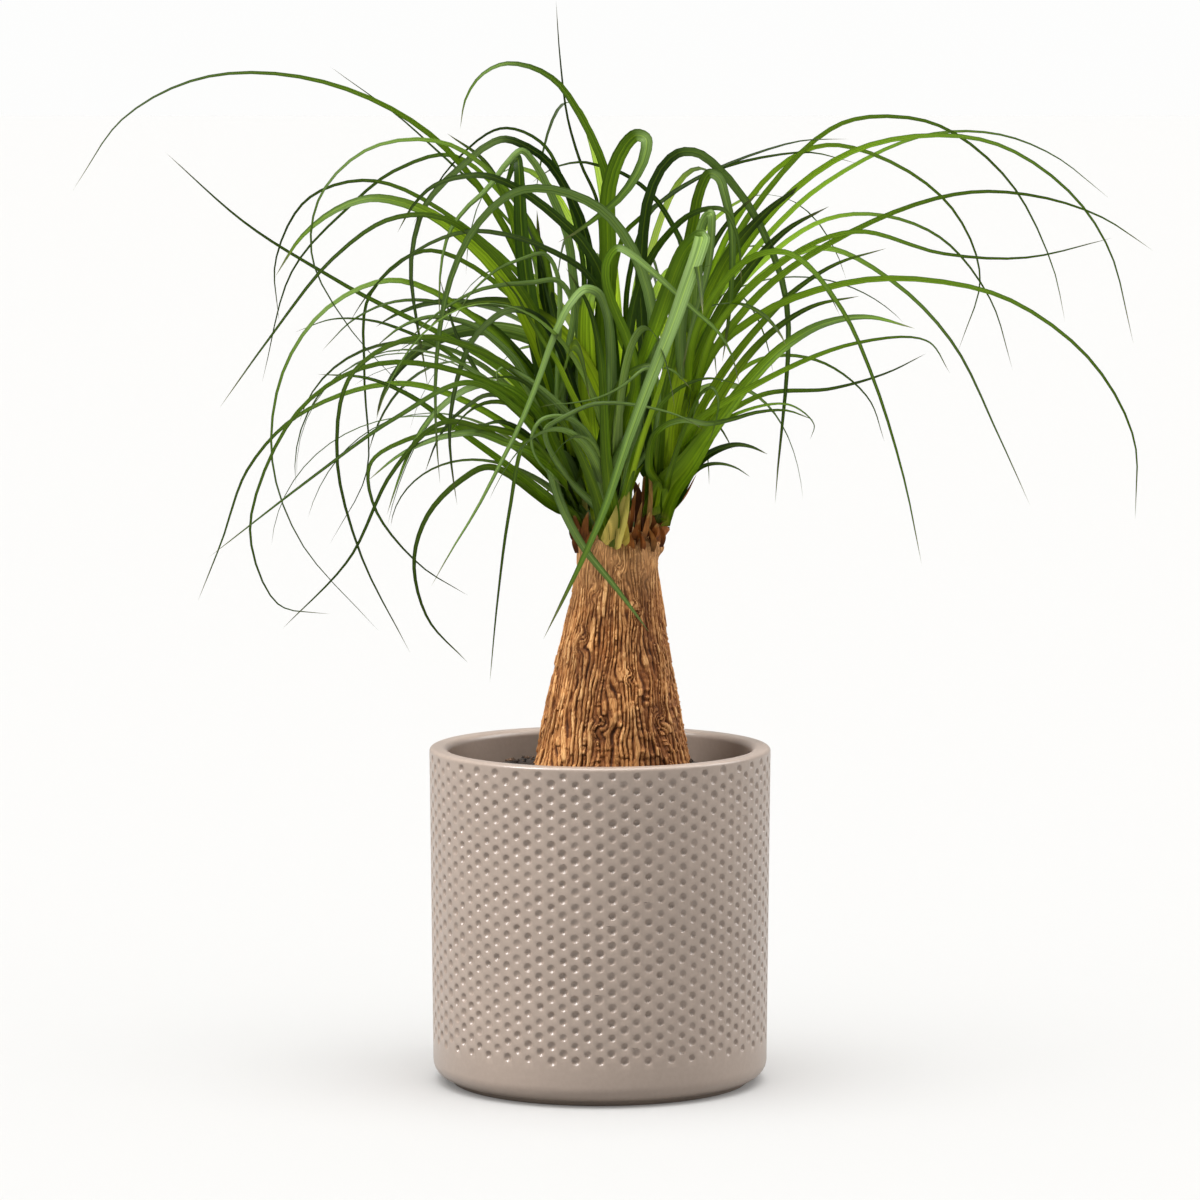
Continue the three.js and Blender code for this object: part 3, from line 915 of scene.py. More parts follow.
    def foot_outline(self) -> list[Pair]:
        """Draws the outline from the middle of the foot up to the dimples.

        Returns:
            Its points, as radius and height.
        """
        bevel = [(self.foot_radius - self.foot_bevel, 0.0), (self.foot_radius, self.foot_bevel)]
        outline = [(0.0, 0.0), *bevel, (self.foot_radius, self.foot_height)]
        for step in range(self.corner_steps + 1):
            turn = math.radians(mix(self.corner_start, 90, step / self.corner_steps))
            inset = self.corner * (1 - math.sin(turn))
            height = self.foot_height + self.corner * (1 - math.cos(turn))
            outline.append((self.radius(height) - inset, height))
        return [*outline, (self.radius(self.band_foot), self.band_foot)]

    def lip_outline(self) -> list[Pair]:
        """Draws the outline from the dimples over the lip and down inside to the floor.

        Returns:
            Its points, as radius and height.
        """
        inner = self.top_radius - self.wall
        outside, inside = [], []
        for step in range(self.lip_steps + 1):
            turn = step / self.lip_steps * math.pi / 2
            rise, reach = math.sin(turn), math.cos(turn)
            height = self.height - self.lip_outside * (1 - rise)
            outside.append((self.radius(height) - self.lip_outside * (1 - reach), height))
            inside.append((inner + self.lip_inside * (1 - rise), self.height - self.lip_inside * (1 - reach)))
        down = [(self.radius(height) - self.wall, height) for height in (*self.inner_levels, self.floor)]
        return [*outside, *inside, *down, (0.0, self.floor)]

    def build(self, finish: Material) -> None:
        """Builds the whole pot in place of its CAD node.

        Args:
            finish: The glaze.
        """
        outlines = (("foot", self.foot_outline()), ("lip", self.lip_outline()))
        parts = [self.band(), *(turned(name, outline, 2 * self.columns) for name, outline in outlines)]
        pot = faced_outwards(joined("dimpled_pot", parts))
        finished(pot, finish, Slot.STONEWARE, 50, stands_for="pot")


# The soil


@dataclass(frozen=True)
class Soil:
    """Potting soil: a lumpy bed that fills the pot, with loose crumbs on top."""

    reach: float = 79.3 * MM
    underside: float = 12.3 * MM
    at_wall: float = 161 * MM
    at_trunk: float = 167 * MM
    trunk_reach: float = 42 * MM
    around: int = 120
    rings: int = 22
    bed_tone: float = 0.12
    crumbs: int = 520
    crumb_sizes: Pair = (0.7 * MM, 2.6 * MM)
    seed: int = 8

    def height(self, x: float, y: float) -> float:
        """Finds how high the bed lies at a place, with its broad and its fine lumps.

        Args:
            x: The place's x.
            y: The place's y.

        Returns:
            The height.
        """
        inward = 1 - smoothstep(math.hypot(x, y), self.trunk_reach, self.reach)
        broad = noise.noise(Vector((x, y, 0.0)) / (9 * MM)) * 1.6
        fine = noise.noise(Vector((x, y, 1.0)) / (3 * MM)) * 0.8
        return mix(self.at_wall, self.at_trunk, inward) + (broad + fine) * MM

    def bed(self) -> Object:
        """Models the bed from a drum whose top is drawn in, ring by ring, and laid uneven.

        Returns:
            The bed.
        """
        drum = {"vertices": self.around, "radius": self.reach, "depth": self.at_wall - self.underside}
        middle = (0.0, 0.0, (self.at_wall + self.underside) / 2)
        piece = added("soil_bed", bpy.ops.mesh.primitive_cylinder_add, location=middle, **drum)
        bpy.ops.object.transform_apply(location=True)
        with edited(piece):
            bpy.ops.mesh.select_mode(type="FACE")
            select_where(piece, lambda place: place.z > self.at_wall - MM)
            for _ in range(self.rings):
                bpy.ops.mesh.inset(thickness=self.reach / (self.rings + 1))
            bpy.ops.mesh.poke()
            bpy.ops.mesh.select_mode(type="VERT")
        for vertex in piece.data.vertices:
            if vertex.co.z > self.at_wall - MM and vertex.co.xy.length < self.reach - MM:
                vertex.co.z = self.height(vertex.co.x, vertex.co.y)
        return piece

    def crumb(self) -> Object:
        """Models one lumpy crumb of unit size.

        Returns:
            The crumb.
        """
        piece = added("crumb", bpy.ops.mesh.primitive_ico_sphere_add, subdivisions=2, radius=1.0)
        for vertex in piece.data.vertices:
            vertex.co *= 1 + 0.45 * noise.noise(vertex.co * 1.7)
        return piece

    def scattered(self) -> Object:
        """Scatters copies of the crumb over the bed.

        Returns:
            All crumbs as one piece.
        """
        blank = self.crumb()
        draws = random.Random(self.seed)
        heap = bmesh.new()
        for _ in range(self.crumbs):
            reach = self.reach * math.sqrt(draws.uniform(0.1, 0.93))
            way = draws.uniform(0, FULL_TURN)
            size = mix(*self.crumb_sizes, draws.random() ** 2.2)
            x, y = reach * math.cos(way), reach * math.sin(way)
            turn = Quaternion((draws.random(), draws.random(), draws.random()), draws.uniform(0, FULL_TURN))
            squash = Matrix.Diagonal((size, size * draws.uniform(0.6, 1), size * draws.uniform(0.5, 0.9), 1))
            place = Matrix.Translation((x, y, self.height(x, y) + size * 0.2))
            copy = blank.data.copy()
            copy.transform(place @ turn.to_matrix().to_4x4() @ squash)
            put_marks(copy, Mark.TONE, draws.random() ** 1.5)
            heap.from_mesh(copy)
            bpy.data.meshes.remove(copy)
        heap.to_mesh(blank.data)
        heap.free()
        blank.name = blank.data.name = "soil_crumbs"
        return blank

    def build(self, finish: Material) -> None:
        """Builds the bed in place of its CAD node, and the crumbs on it.

        Args:
            finish: The soil's finish.
        """
        bed = faced_outwards(self.bed())
        put_marks(bed.data, Mark.TONE, self.bed_tone)
        finished(bed, finish, Slot.SOIL, 60, stands_for="soil")
        finished(self.scattered(), finish, Slot.SOIL, 50)


# The trunk


@dataclass(frozen=True)
class Trunk:
    """The tapered corky trunk, rolled from a sheet of bark."""

    base: Place = (6.3 * MM, 0.0, 148 * MM)
    top: Place = (10 * MM, 0.0, 289 * MM)
    profile: tuple[Pair, ...] = (
        (0, 150), (39, 150.5), (41.5, 168), (37.9, 185), (33, 211), (28.2, 235), (23.5, 259), (21.4, 273),
        (21.4, 281), (19.8, 287), (15.5, 291), (8, 293.5), (0, 294),
    )  # radius and height in millimetres
    foot_share: float = 0.1  # how much of the sheet's length the flat foot takes, beside the wall
    around: int = 470
    levels: int = 205
    flat_within: float = 12 * MM  # the bark flattens towards the axis from here on
    bark_girth: float = 34 * MM
    knob_girth: float = 22 * MM
    strands: int = 88
    pieces: Pair = (6 * MM, 19 * MM)  # how long the pieces are that a ridge breaks into
    ridge_depth: float = 0.95 * MM
    piece_step: float = 0.8 * MM
    broad_waves: float = 0.8 * MM
    swirl: float = 1.5  # how far the grain is turned in the middle of an eye, in radians
    knobs: tuple[tuple[float, float, float, float], ...] = (
        (-6, 283.5, 6.5, 3.4), (183, 284, 5.0, 2.2), (95, 281, 8.0, 4.0), (-62, 280, 8.0, 1.8),
        (-150, 272, 9.0, 2.0),
    )  # degrees round the trunk, then height, reach and rise in millimetres
    eyes: tuple[Place, ...] = (
        (-48, 270, 9), (-88, 274, 8), (-122, 262, 8), (-64, 252, 7), (-128, 236, 8), (-75, 218, 5),
        (-100, 192, 7), (-45, 196, 8), (-10, 250, 8), (60, 268, 9), (140, 240, 9), (100, 205, 8),
    )  # degrees round the trunk, then height and reach in millimetres

    def profile_at(self, share: float) -> Pair:
        """Reads the trunk's outline.

        Args:
            share: Where on the outline, from 0 at its foot to 1 at its top.

        Returns:
            The radius and the height.
        """
        points = [Vector((radius * MM, height * MM)) for radius, height in self.profile]
        lengths = [0.0]
        for low, high in zip(points, points[1:]):
            lengths.append(lengths[-1] + (high - low).length * (1.0 if low.x else self.foot_share))
        radius = np.interp(share * lengths[-1], lengths, [point.x for point in points])
        height = np.interp(share * lengths[-1], lengths, [point.y for point in points])
        return float(radius), float(height)

    def middle(self, height: float) -> Vector:
        """Returns the trunk's middle at a height. It leans a little to the right as it rises."""
        rise = (height - self.base[2]) / (self.top[2] - self.base[2])
        return Vector(self.base).lerp(Vector(self.top), rise * rise)

    def swirled(self, angle: float, height: float) -> Pair:
        """Turns the grain round the eyes that old leaf scars leave in it.

        Args:
            angle: The way from the trunk's middle.
            height: The height on the trunk.

        Returns:
            The angle and the height to read the grain at.
        """
        for degrees, level, reach in self.eyes:
            across = math.remainder(angle - math.radians(degrees), FULL_TURN) * self.bark_girth
            up = height - level * MM
            near = 1 - smoothstep(math.hypot(across, up), 0.0, reach * MM)
            turn = self.swirl * near
            turned_across = across * math.cos(turn) - up * math.sin(turn)
            angle += (turned_across - across) / self.bark_girth
            height += across * math.sin(turn) + up * (math.cos(turn) - 1)
        return angle, height

    def grain(self, angle: float, height: float) -> Pair:
        """Reads the bark's grain: upright ridges that wander and break into pieces.

        Args:
            angle: The way from the trunk's middle.
            height: The height on the trunk.

        Returns:
            The ridge, from 0 in the furrow to 1 on its back, and the piece's own number from 0 to 1.
        """
        around = level_way(angle) * self.bark_girth
        rise = Vector((0.0, 0.0, height))
        bend = 1.9 * noise.noise(around / (12 * MM) + rise / (26 * MM))
        bend += 0.5 * noise.noise(around / (4 * MM) + rise / (11 * MM))
        phase = (self.strands * angle / FULL_TURN + bend) % self.strands
        order, furrow = math.floor(phase) + 0.5, round(phase) % self.strands
        length = mix(*self.pieces, noise.cell(Vector((order, 0.5, 0.5))))
        level = height / length + 5 * noise.cell(Vector((order, 7.5, 0.5)))
        own = noise.cell(Vector((order, math.floor(level) + 0.5, 3.5)))
        end = min(level % 1, 1 - level % 1) * length
        side = smoothstep(0.5 - 0.5 * math.cos(FULL_TURN * phase), 0.0, 0.5)
        open_here = smoothstep(noise.noise(Vector((furrow * 3.1, height / (8 * MM), 0.0))), -0.35, 0.15)
        rounded = smoothstep(end - (1 - side) * 1.6 * MM, -0.3 * MM, 0.7 * MM)
        return mix(1.0, side, mix(0.3, 1.0, open_here)) * mix(0.6, 1.0, rounded), own

    def swell(self, angle: float, height: float) -> float:
        """Reads how far the knobs stand out.

        Args:
            angle: The way from the trunk's middle.
            height: The height on the trunk.

        Returns:
            The swelling.
        """
        swell = 0.0
        for degrees, level, reach, rise in self.knobs:
            across = math.remainder(angle - math.radians(degrees), FULL_TURN) * self.knob_girth
            swell += rise * MM * (1 - smoothstep(math.hypot(across, height - level * MM), 0.0, reach * MM))
        return swell

    def relief(self, angle: float, height: float) -> Pair:
        """Reads the bark at a place.

        Args:
            angle: The way from the trunk's middle.
            height: The height on the trunk.

        Returns:
            How far the bark stands out, and its mark from 0 in a fissure to 1 on a plate.
        """
        age = 1 - smoothstep(height, 230 * MM, 300 * MM)
        edge = 1 - 0.8 * smoothstep(height, 283 * MM, 288 * MM)
        foot = 1 - smoothstep(height, 165 * MM, 225 * MM)
        ridge, own = self.grain(*self.swirled(angle, height))
        broad = noise.noise(Vector((math.cos(angle) * 2.2, math.sin(angle) * 2.2, height / (30 * MM))))
        lift = self.ridge_depth * (ridge - 0.7) * mix(0.4, 1.0, age) * edge
        lift += self.piece_step * (own - 0.5) * mix(0.3, 1.0, age) * mix(0.6, 1.0, foot) * edge
        mark = mix(0.8, mix(0.1, 1.0, ridge) * mix(0.75, 1.0, own), mix(0.8, 1.0, age))
        return lift + broad * self.broad_waves + self.swell(angle, height), mark * (0.95 + 0.1 * broad)

    def build(self, finish: Material) -> None:
        """Builds the trunk in place of its CAD node.

        Args:
            finish: The bark.
        """
        sizes = {"x_subdivisions": self.around, "y_subdivisions": self.levels, "size": 1.0}
        piece = added("corky_trunk", bpy.ops.mesh.primitive_grid_add, **sizes)
        marks = []
        for vertex in piece.data.vertices:
            angle = (vertex.co.x + 0.5) * FULL_TURN
            radius, height = self.profile_at(vertex.co.y + 0.5)
            lift, mark = self.relief(angle, height)
            reach = radius + lift * min(radius / self.flat_within, 1.0)
            place = self.middle(height) + level_way(angle) * reach
            vertex.co = (place.x, place.y, height)
            marks.append(mark)
        put_marks(piece.data, Mark.RELIEF, np.array(marks))
        with edited(piece):
            bpy.ops.mesh.remove_doubles(threshold=SEAM)
        finished(faced_outwards(piece), finish, Slot.BARK, 60, stands_for="trunk")


# Leaves


@dataclass(frozen=True)
class Blade:
    """One leaf as it grows: its smooth path, and how it is shaped along the path."""

    path: tuple[Vector, ...]
    width: float
    roll: float  # how far it turns about its own length once it is clear of the sheath
    twist: float  # how far it turns on after that, up to its tip
    fresh: float
    tone: float
    clasp: float = 1.5  # how much wider it is where it clasps the stem
    fullness: float = 0.0  # 0 for a leaf that narrows from its foot on, 1 for one that stays broad
    shown: int = 0  # 1 if it turns its upper side to the front, -1 for its underside, 0 for neither
    turned_by: float = 0.25  # the share of its length after which it has turned
    sheen_paling: float = 0.25  # how much paler it gets where it has turned over, from 0 to 1: partly its underside seen, partly a painted sheen


class LeafBlank:
    """The flat strap that every leaf is bent from. It is a thin closed body with a pointed end."""

    UV = "sheet"
    SHARES = (0.0, 0.12, 0.3, 0.5, 0.7, 0.85, 0.95, 1.0)
    SLIM = (1.0, 0.93, 0.72, 0.52, 0.34, 0.22, 0.12, 0.03)  # the width at those shares of the length
    FULL = (1.0, 1.0, 1.0, 0.92, 0.72, 0.44, 0.2, 0.03)
    ROOT = ((0, 6), (0.5, 1.0))  # millimetres from the root, share of the width
    CLASP = ((0, 7, 26, 60), (0.2, 1.0, 0.8, 0.0))  # millimetres from the root, share of the clasp
    FOLD = ((0, 12, 50, 130), (48, 42, 26, 9))  # millimetres from the root, degrees of each half
    THICKNESS = ((0.0, 0.2, 1.0), (0.8, 0.45, 0.18))  # share of the length, millimetres
    SHEEN_PALING = (-0.3, 0.5)  # how steeply a leaf climbs where its painted sheen is palest, and where it isn't pale
    EDGE = 0.49  # the vertices of the blank that lie further out than this are on its edge
    TIP = 0.999  # and those further along are at its tip

    def __init__(self, across: int, along: int) -> None:
        """Models the blank, 1 wide and 1 long, and keeps its mesh.

        Args:
            across: How many faces wide it is.
            along: How many faces long it is.
        """
        self.along = along
        sizes = {"x_subdivisions": across, "y_subdivisions": along, "size": 1.0}
        piece = added("leaf blank", bpy.ops.mesh.primitive_grid_add, **sizes)
        with edited(piece):
            bpy.ops.transform.translate(value=(0.0, 0.5, 0.0))
        with_modifier(piece, "SOLIDIFY", thickness=1.0, offset=0.0)
        for vertex in piece.data.vertices:
            if abs(vertex.co.x) > self.EDGE:
                vertex.co.z = 0.0
        with edited(piece):
            bpy.ops.mesh.remove_doubles(threshold=1e-4)
            select_where(piece, lambda place: place.y > self.TIP)
            bpy.ops.mesh.merge(type="CENTER")
        self.mesh = faced_outwards(piece).data
        self.places = places_of(self.mesh)
        while self.mesh.uv_layers:
            self.mesh.uv_layers.remove(self.mesh.uv_layers[0])
        self.put_sheet(self.mesh, corner_places(self.mesh)[:, :2] + (0.5, 0.0))
        sides = [1.0 if face.normal.z > 0.1 else 0.0 for face in self.mesh.polygons]
        put_marks(self.mesh, Mark.UPPER, np.array(sides), "FACE")
        bpy.data.objects.remove(piece)

    @classmethod
    def put_sheet(cls, mesh: Mesh, sheet: np.ndarray) -> None:
        """Writes where on a leaf's flat sheet each corner is, as shares of its width and of its length."""
        layer = mesh.uv_layers.get(cls.UV) or mesh.uv_layers.new(name=cls.UV)
        layer.data.foreach_set("uv", sheet.astype(np.float32).ravel())

    @classmethod
    def dress_shell(cls, mesh: Mesh, shares: Pair, tone: float) -> None:
        """Marks an upright turned shell or a leaf's foot as if it were made of leaf feet, side by side.

        Args:
            mesh: The mesh.
            shares: Which shares of a leaf's length its lower and upper ends look like.
            tone: Its tone, from 0 to 1.
        """
        x, y, z = corner_places(mesh).T
        across = 0.5 + 0.4 * np.cos(5 * np.arctan2(y, x))
        cls.put_sheet(mesh, np.stack([across, np.interp(z, (z.min(), z.max()), shares)], axis=1))
        if Mark.UPPER.value not in mesh.attributes:
            put_marks(mesh, Mark.UPPER, 1.0, "FACE")
        for mark, value in ((Mark.TONE, tone), (Mark.FRESH, 0.0), (Mark.OVER, 0.0)):
            put_marks(mesh, mark, value)

    @staticmethod
    def frame_along(blade: Blade) -> tuple[np.ndarray, np.ndarray, np.ndarray]:
        """Carries a frame along a leaf's path.

        Args:
            blade: The leaf.

        Returns:
            The places, the ways across and the ways up from the leaf's upper side, one of each a step.
        """
        path, last = blade.path, len(blade.path) - 1
        peak = min(max(range(last + 1), key=lambda step: path[step].z), last - 1)
        heading = path[peak + 1] - path[max(peak - 3, 0)]
        heading.z = 0.0
        across = heading.normalized().cross(UP)
        sides, tops = [], []
        for step in range(last + 1):
            share = step / last
            tangent = (path[min(step + 1, last)] - path[max(step - 1, 0)]).normalized()
            across = (across - tangent * across.dot(tangent)).normalized()
            turn = blade.roll
            if blade.shown:
                wanted = tangent.cross(FRONT) * blade.shown
                turn += math.atan2(tangent.dot(across.cross(wanted)), across.dot(wanted))
            side = across.copy()
            turn = turn * smoothstep(share, 0.0, blade.turned_by) + blade.twist * share
            side.rotate(Quaternion(tangent, turn))
            sides.append(side)
            tops.append(side.cross(tangent))
        return np.array(path), np.array(sides), np.array(tops)

    def bent(self, blade: Blade) -> Mesh:
        """Copies the blank and bends the copy along a leaf's path.

        Args:
            blade: The leaf.

        Returns:
            The leaf's own mesh.
        """
        path, sides, tops = self.frame_along(blade)
        across, along, skin = self.places.T
        step = np.round(along * self.along).astype(int)
        lengths = np.cumsum([0.0, *np.linalg.norm(np.diff(path, axis=0), axis=1)])
        distance, share = lengths[step] / MM, (lengths / lengths[-1])[step]
        clasp = 1 + (blade.clasp - 1) * np.interp(distance, *self.CLASP)
        taper = np.interp(share, self.SHARES, mix(np.array(self.SLIM), np.array(self.FULL), blade.fullness))
        width = blade.width * taper * clasp * np.interp(distance, *self.ROOT)
        fold = np.radians(np.interp(distance, *self.FOLD))
        arm = np.abs(across)
        rise = width * arm * (2 * arm) ** 0.5 * np.sin(fold)
        reach = width * across * np.cos(fold * (0.4 + 1.2 * arm))
        thick = skin * np.interp(share, *self.THICKNESS) * MM
        mesh = self.mesh.copy()
        put_places(mesh, path[step] + sides[step] * reach[:, None] + tops[step] * (rise + thick)[:, None])
        climb = np.gradient(path[:, 2]) / np.linalg.norm(np.gradient(path, axis=0), axis=1)
        put_marks(mesh, Mark.TONE, blade.tone)
        put_marks(mesh, Mark.FRESH, blade.fresh)
        # Marks where the leaf falls, for its painted sheen.
        put_marks(mesh, Mark.OVER, np.interp(climb, self.SHEEN_PALING, (blade.sheen_paling, 0.0))[step])
        return mesh


def through(places: Sequence[Vector], steps: int) -> tuple[Vector, ...]:
    """Draws a smooth line through a few places.

    Args:
        places: The places, in order.
        steps: How many steps the line is cut into. They are shorter where it bends more.

    Returns:
        The points between the steps, with both ends.
    """
    fineness, bend_weight = 16, 0.7
    points = [2 * places[0] - places[1], *places, 2 * places[-1] - places[-2]]
    fine: list[Vector] = []
    for before, start, end, after in zip(points, points[1:], points[2:], points[3:]):
        knots = [0.0]
        for low, high in ((before, start), (start, end), (end, after)):
            knots.append(knots[-1] + math.sqrt((high - low).length))
        stretch = (before, start, end, after)
        fine += [between(stretch, knots, share / fineness) for share in range(fineness)]
    fine.append(places[-1])
    ways = [high - low for low, high in zip(fine, fine[1:])]
    bends = [0.0, *(way.angle(onward, 0.0) for way, onward in zip(ways, ways[1:]))]
    whole, turned_by = sum(way.length for way in ways), sum(bends) + 1e-6
    parts = [way.length / whole + bend_weight * bend / turned_by for way, bend in zip(ways, bends)]
    measure = np.cumsum([0.0, *parts])
    even = np.linspace(0.0, measure[-1], steps + 1)
    columns = [np.interp(even, measure, [point[axis] for point in fine]) for axis in range(3)]
    return tuple(Vector(point) for point in zip(*columns))


def between(stretch: Sequence[Vector], knots: Sequence[float], share: float) -> Vector:
    """Reads a smooth curve between two of its places.

    Args:
        stretch: The place before, the two places to read between, and the place after.
        knots: The curve's own measure at the four places.
        share: Where between the two, from 0 to 1.

    Returns:
        The point.
    """
    at = mix(knots[1], knots[2], share)
    points = stretch
    for spans in (((0, 1), (1, 2), (2, 3)), ((0, 2), (1, 3)), ((1, 2),)):
        points = [
            first.lerp(second, (at - knots[low]) / (knots[high] - knots[low]))
            for first, second, (low, high) in zip(points, points[1:], spans)
        ]
    return points[0]


class Look(Enum):
    """How a leaf looks from the front: its tone, how young it is, and 1 for its upper side or -1 below."""

    # DARK is given to leaves that lie in shade and LIGHT to those that the left head shades: painted shade
    # and painted light, over each leaf's own tone.
    DARK = (0.12, 0.0, 1)
    GREEN = (0.5, 0.15, 1)
    LIGHT = (1.0, 0.35, 1)
    BRIGHT = (0.95, 1.0, 1)
    PALE = (0.75, 0.0, -1)


DARK, GREEN, LIGHT, BRIGHT, PALE = Look


@dataclass(frozen=True)
class PlacedLeaf:
    """A leaf that is placed one by one, in millimetres. It passes its places in order."""

    width: float
    look: Look
    places: tuple[Place, ...]
    fullness: float = 0.0
    rooted: bool = False  # whether its first place is its root
    clasp: float = 1.5
    sheen_paling: float = 0.15  # how much paler it gets where it has turned over: partly its underside seen, partly a painted sheen


def fanned(width: float, yaw: float, *places: Pair, look: Look = GREEN) -> PlacedLeaf:
    """Describes a leaf in an upright plane through the trunk's axis.

    Args:
        width: Its width before it is drawn a little narrower, as all of these are.
        yaw: How far the plane is swung away from the viewer, in degrees. It is negative towards the viewer.
        *places: The places that it passes, as x and z seen from the front.
        look: How it looks.

    Returns:
        The leaf.
    """
    slimmer = 0.76
    slope = math.tan(math.radians(yaw))
    deep = tuple((x, abs(x - Trunk.top[0] / MM) * slope, z) for x, z in places)
    return PlacedLeaf(slimmer * width, look, deep)


def seen(
    width: float, look: Look, *places: Place, fullness: float = 0.5, rooted: bool = False, clasp: float = 1.5
) -> PlacedLeaf:
    """Describes a leaf as the camera sees it before the trunk's own plane.

    Args:
        width: Its width.
        look: How it looks.
        *places: The places that it passes: where it is seen, and how deep it lies.
        fullness: How broad it stays along its length, from 0 to 1.
        rooted: Whether its first place is its root.
        clasp: How much wider it is where it clasps the stem.

    Returns:
        The leaf, with each place moved along the camera's line of sight to its depth.
    """
    distance, eye = -EYE[1] / MM, EYE[2] / MM
    true = tuple((x * (1 + y / distance), y, eye + (z - eye) * (1 + y / distance)) for x, y, z in places)
    return PlacedLeaf(width, look, true, fullness, rooted, clasp, sheen_paling=0.8)


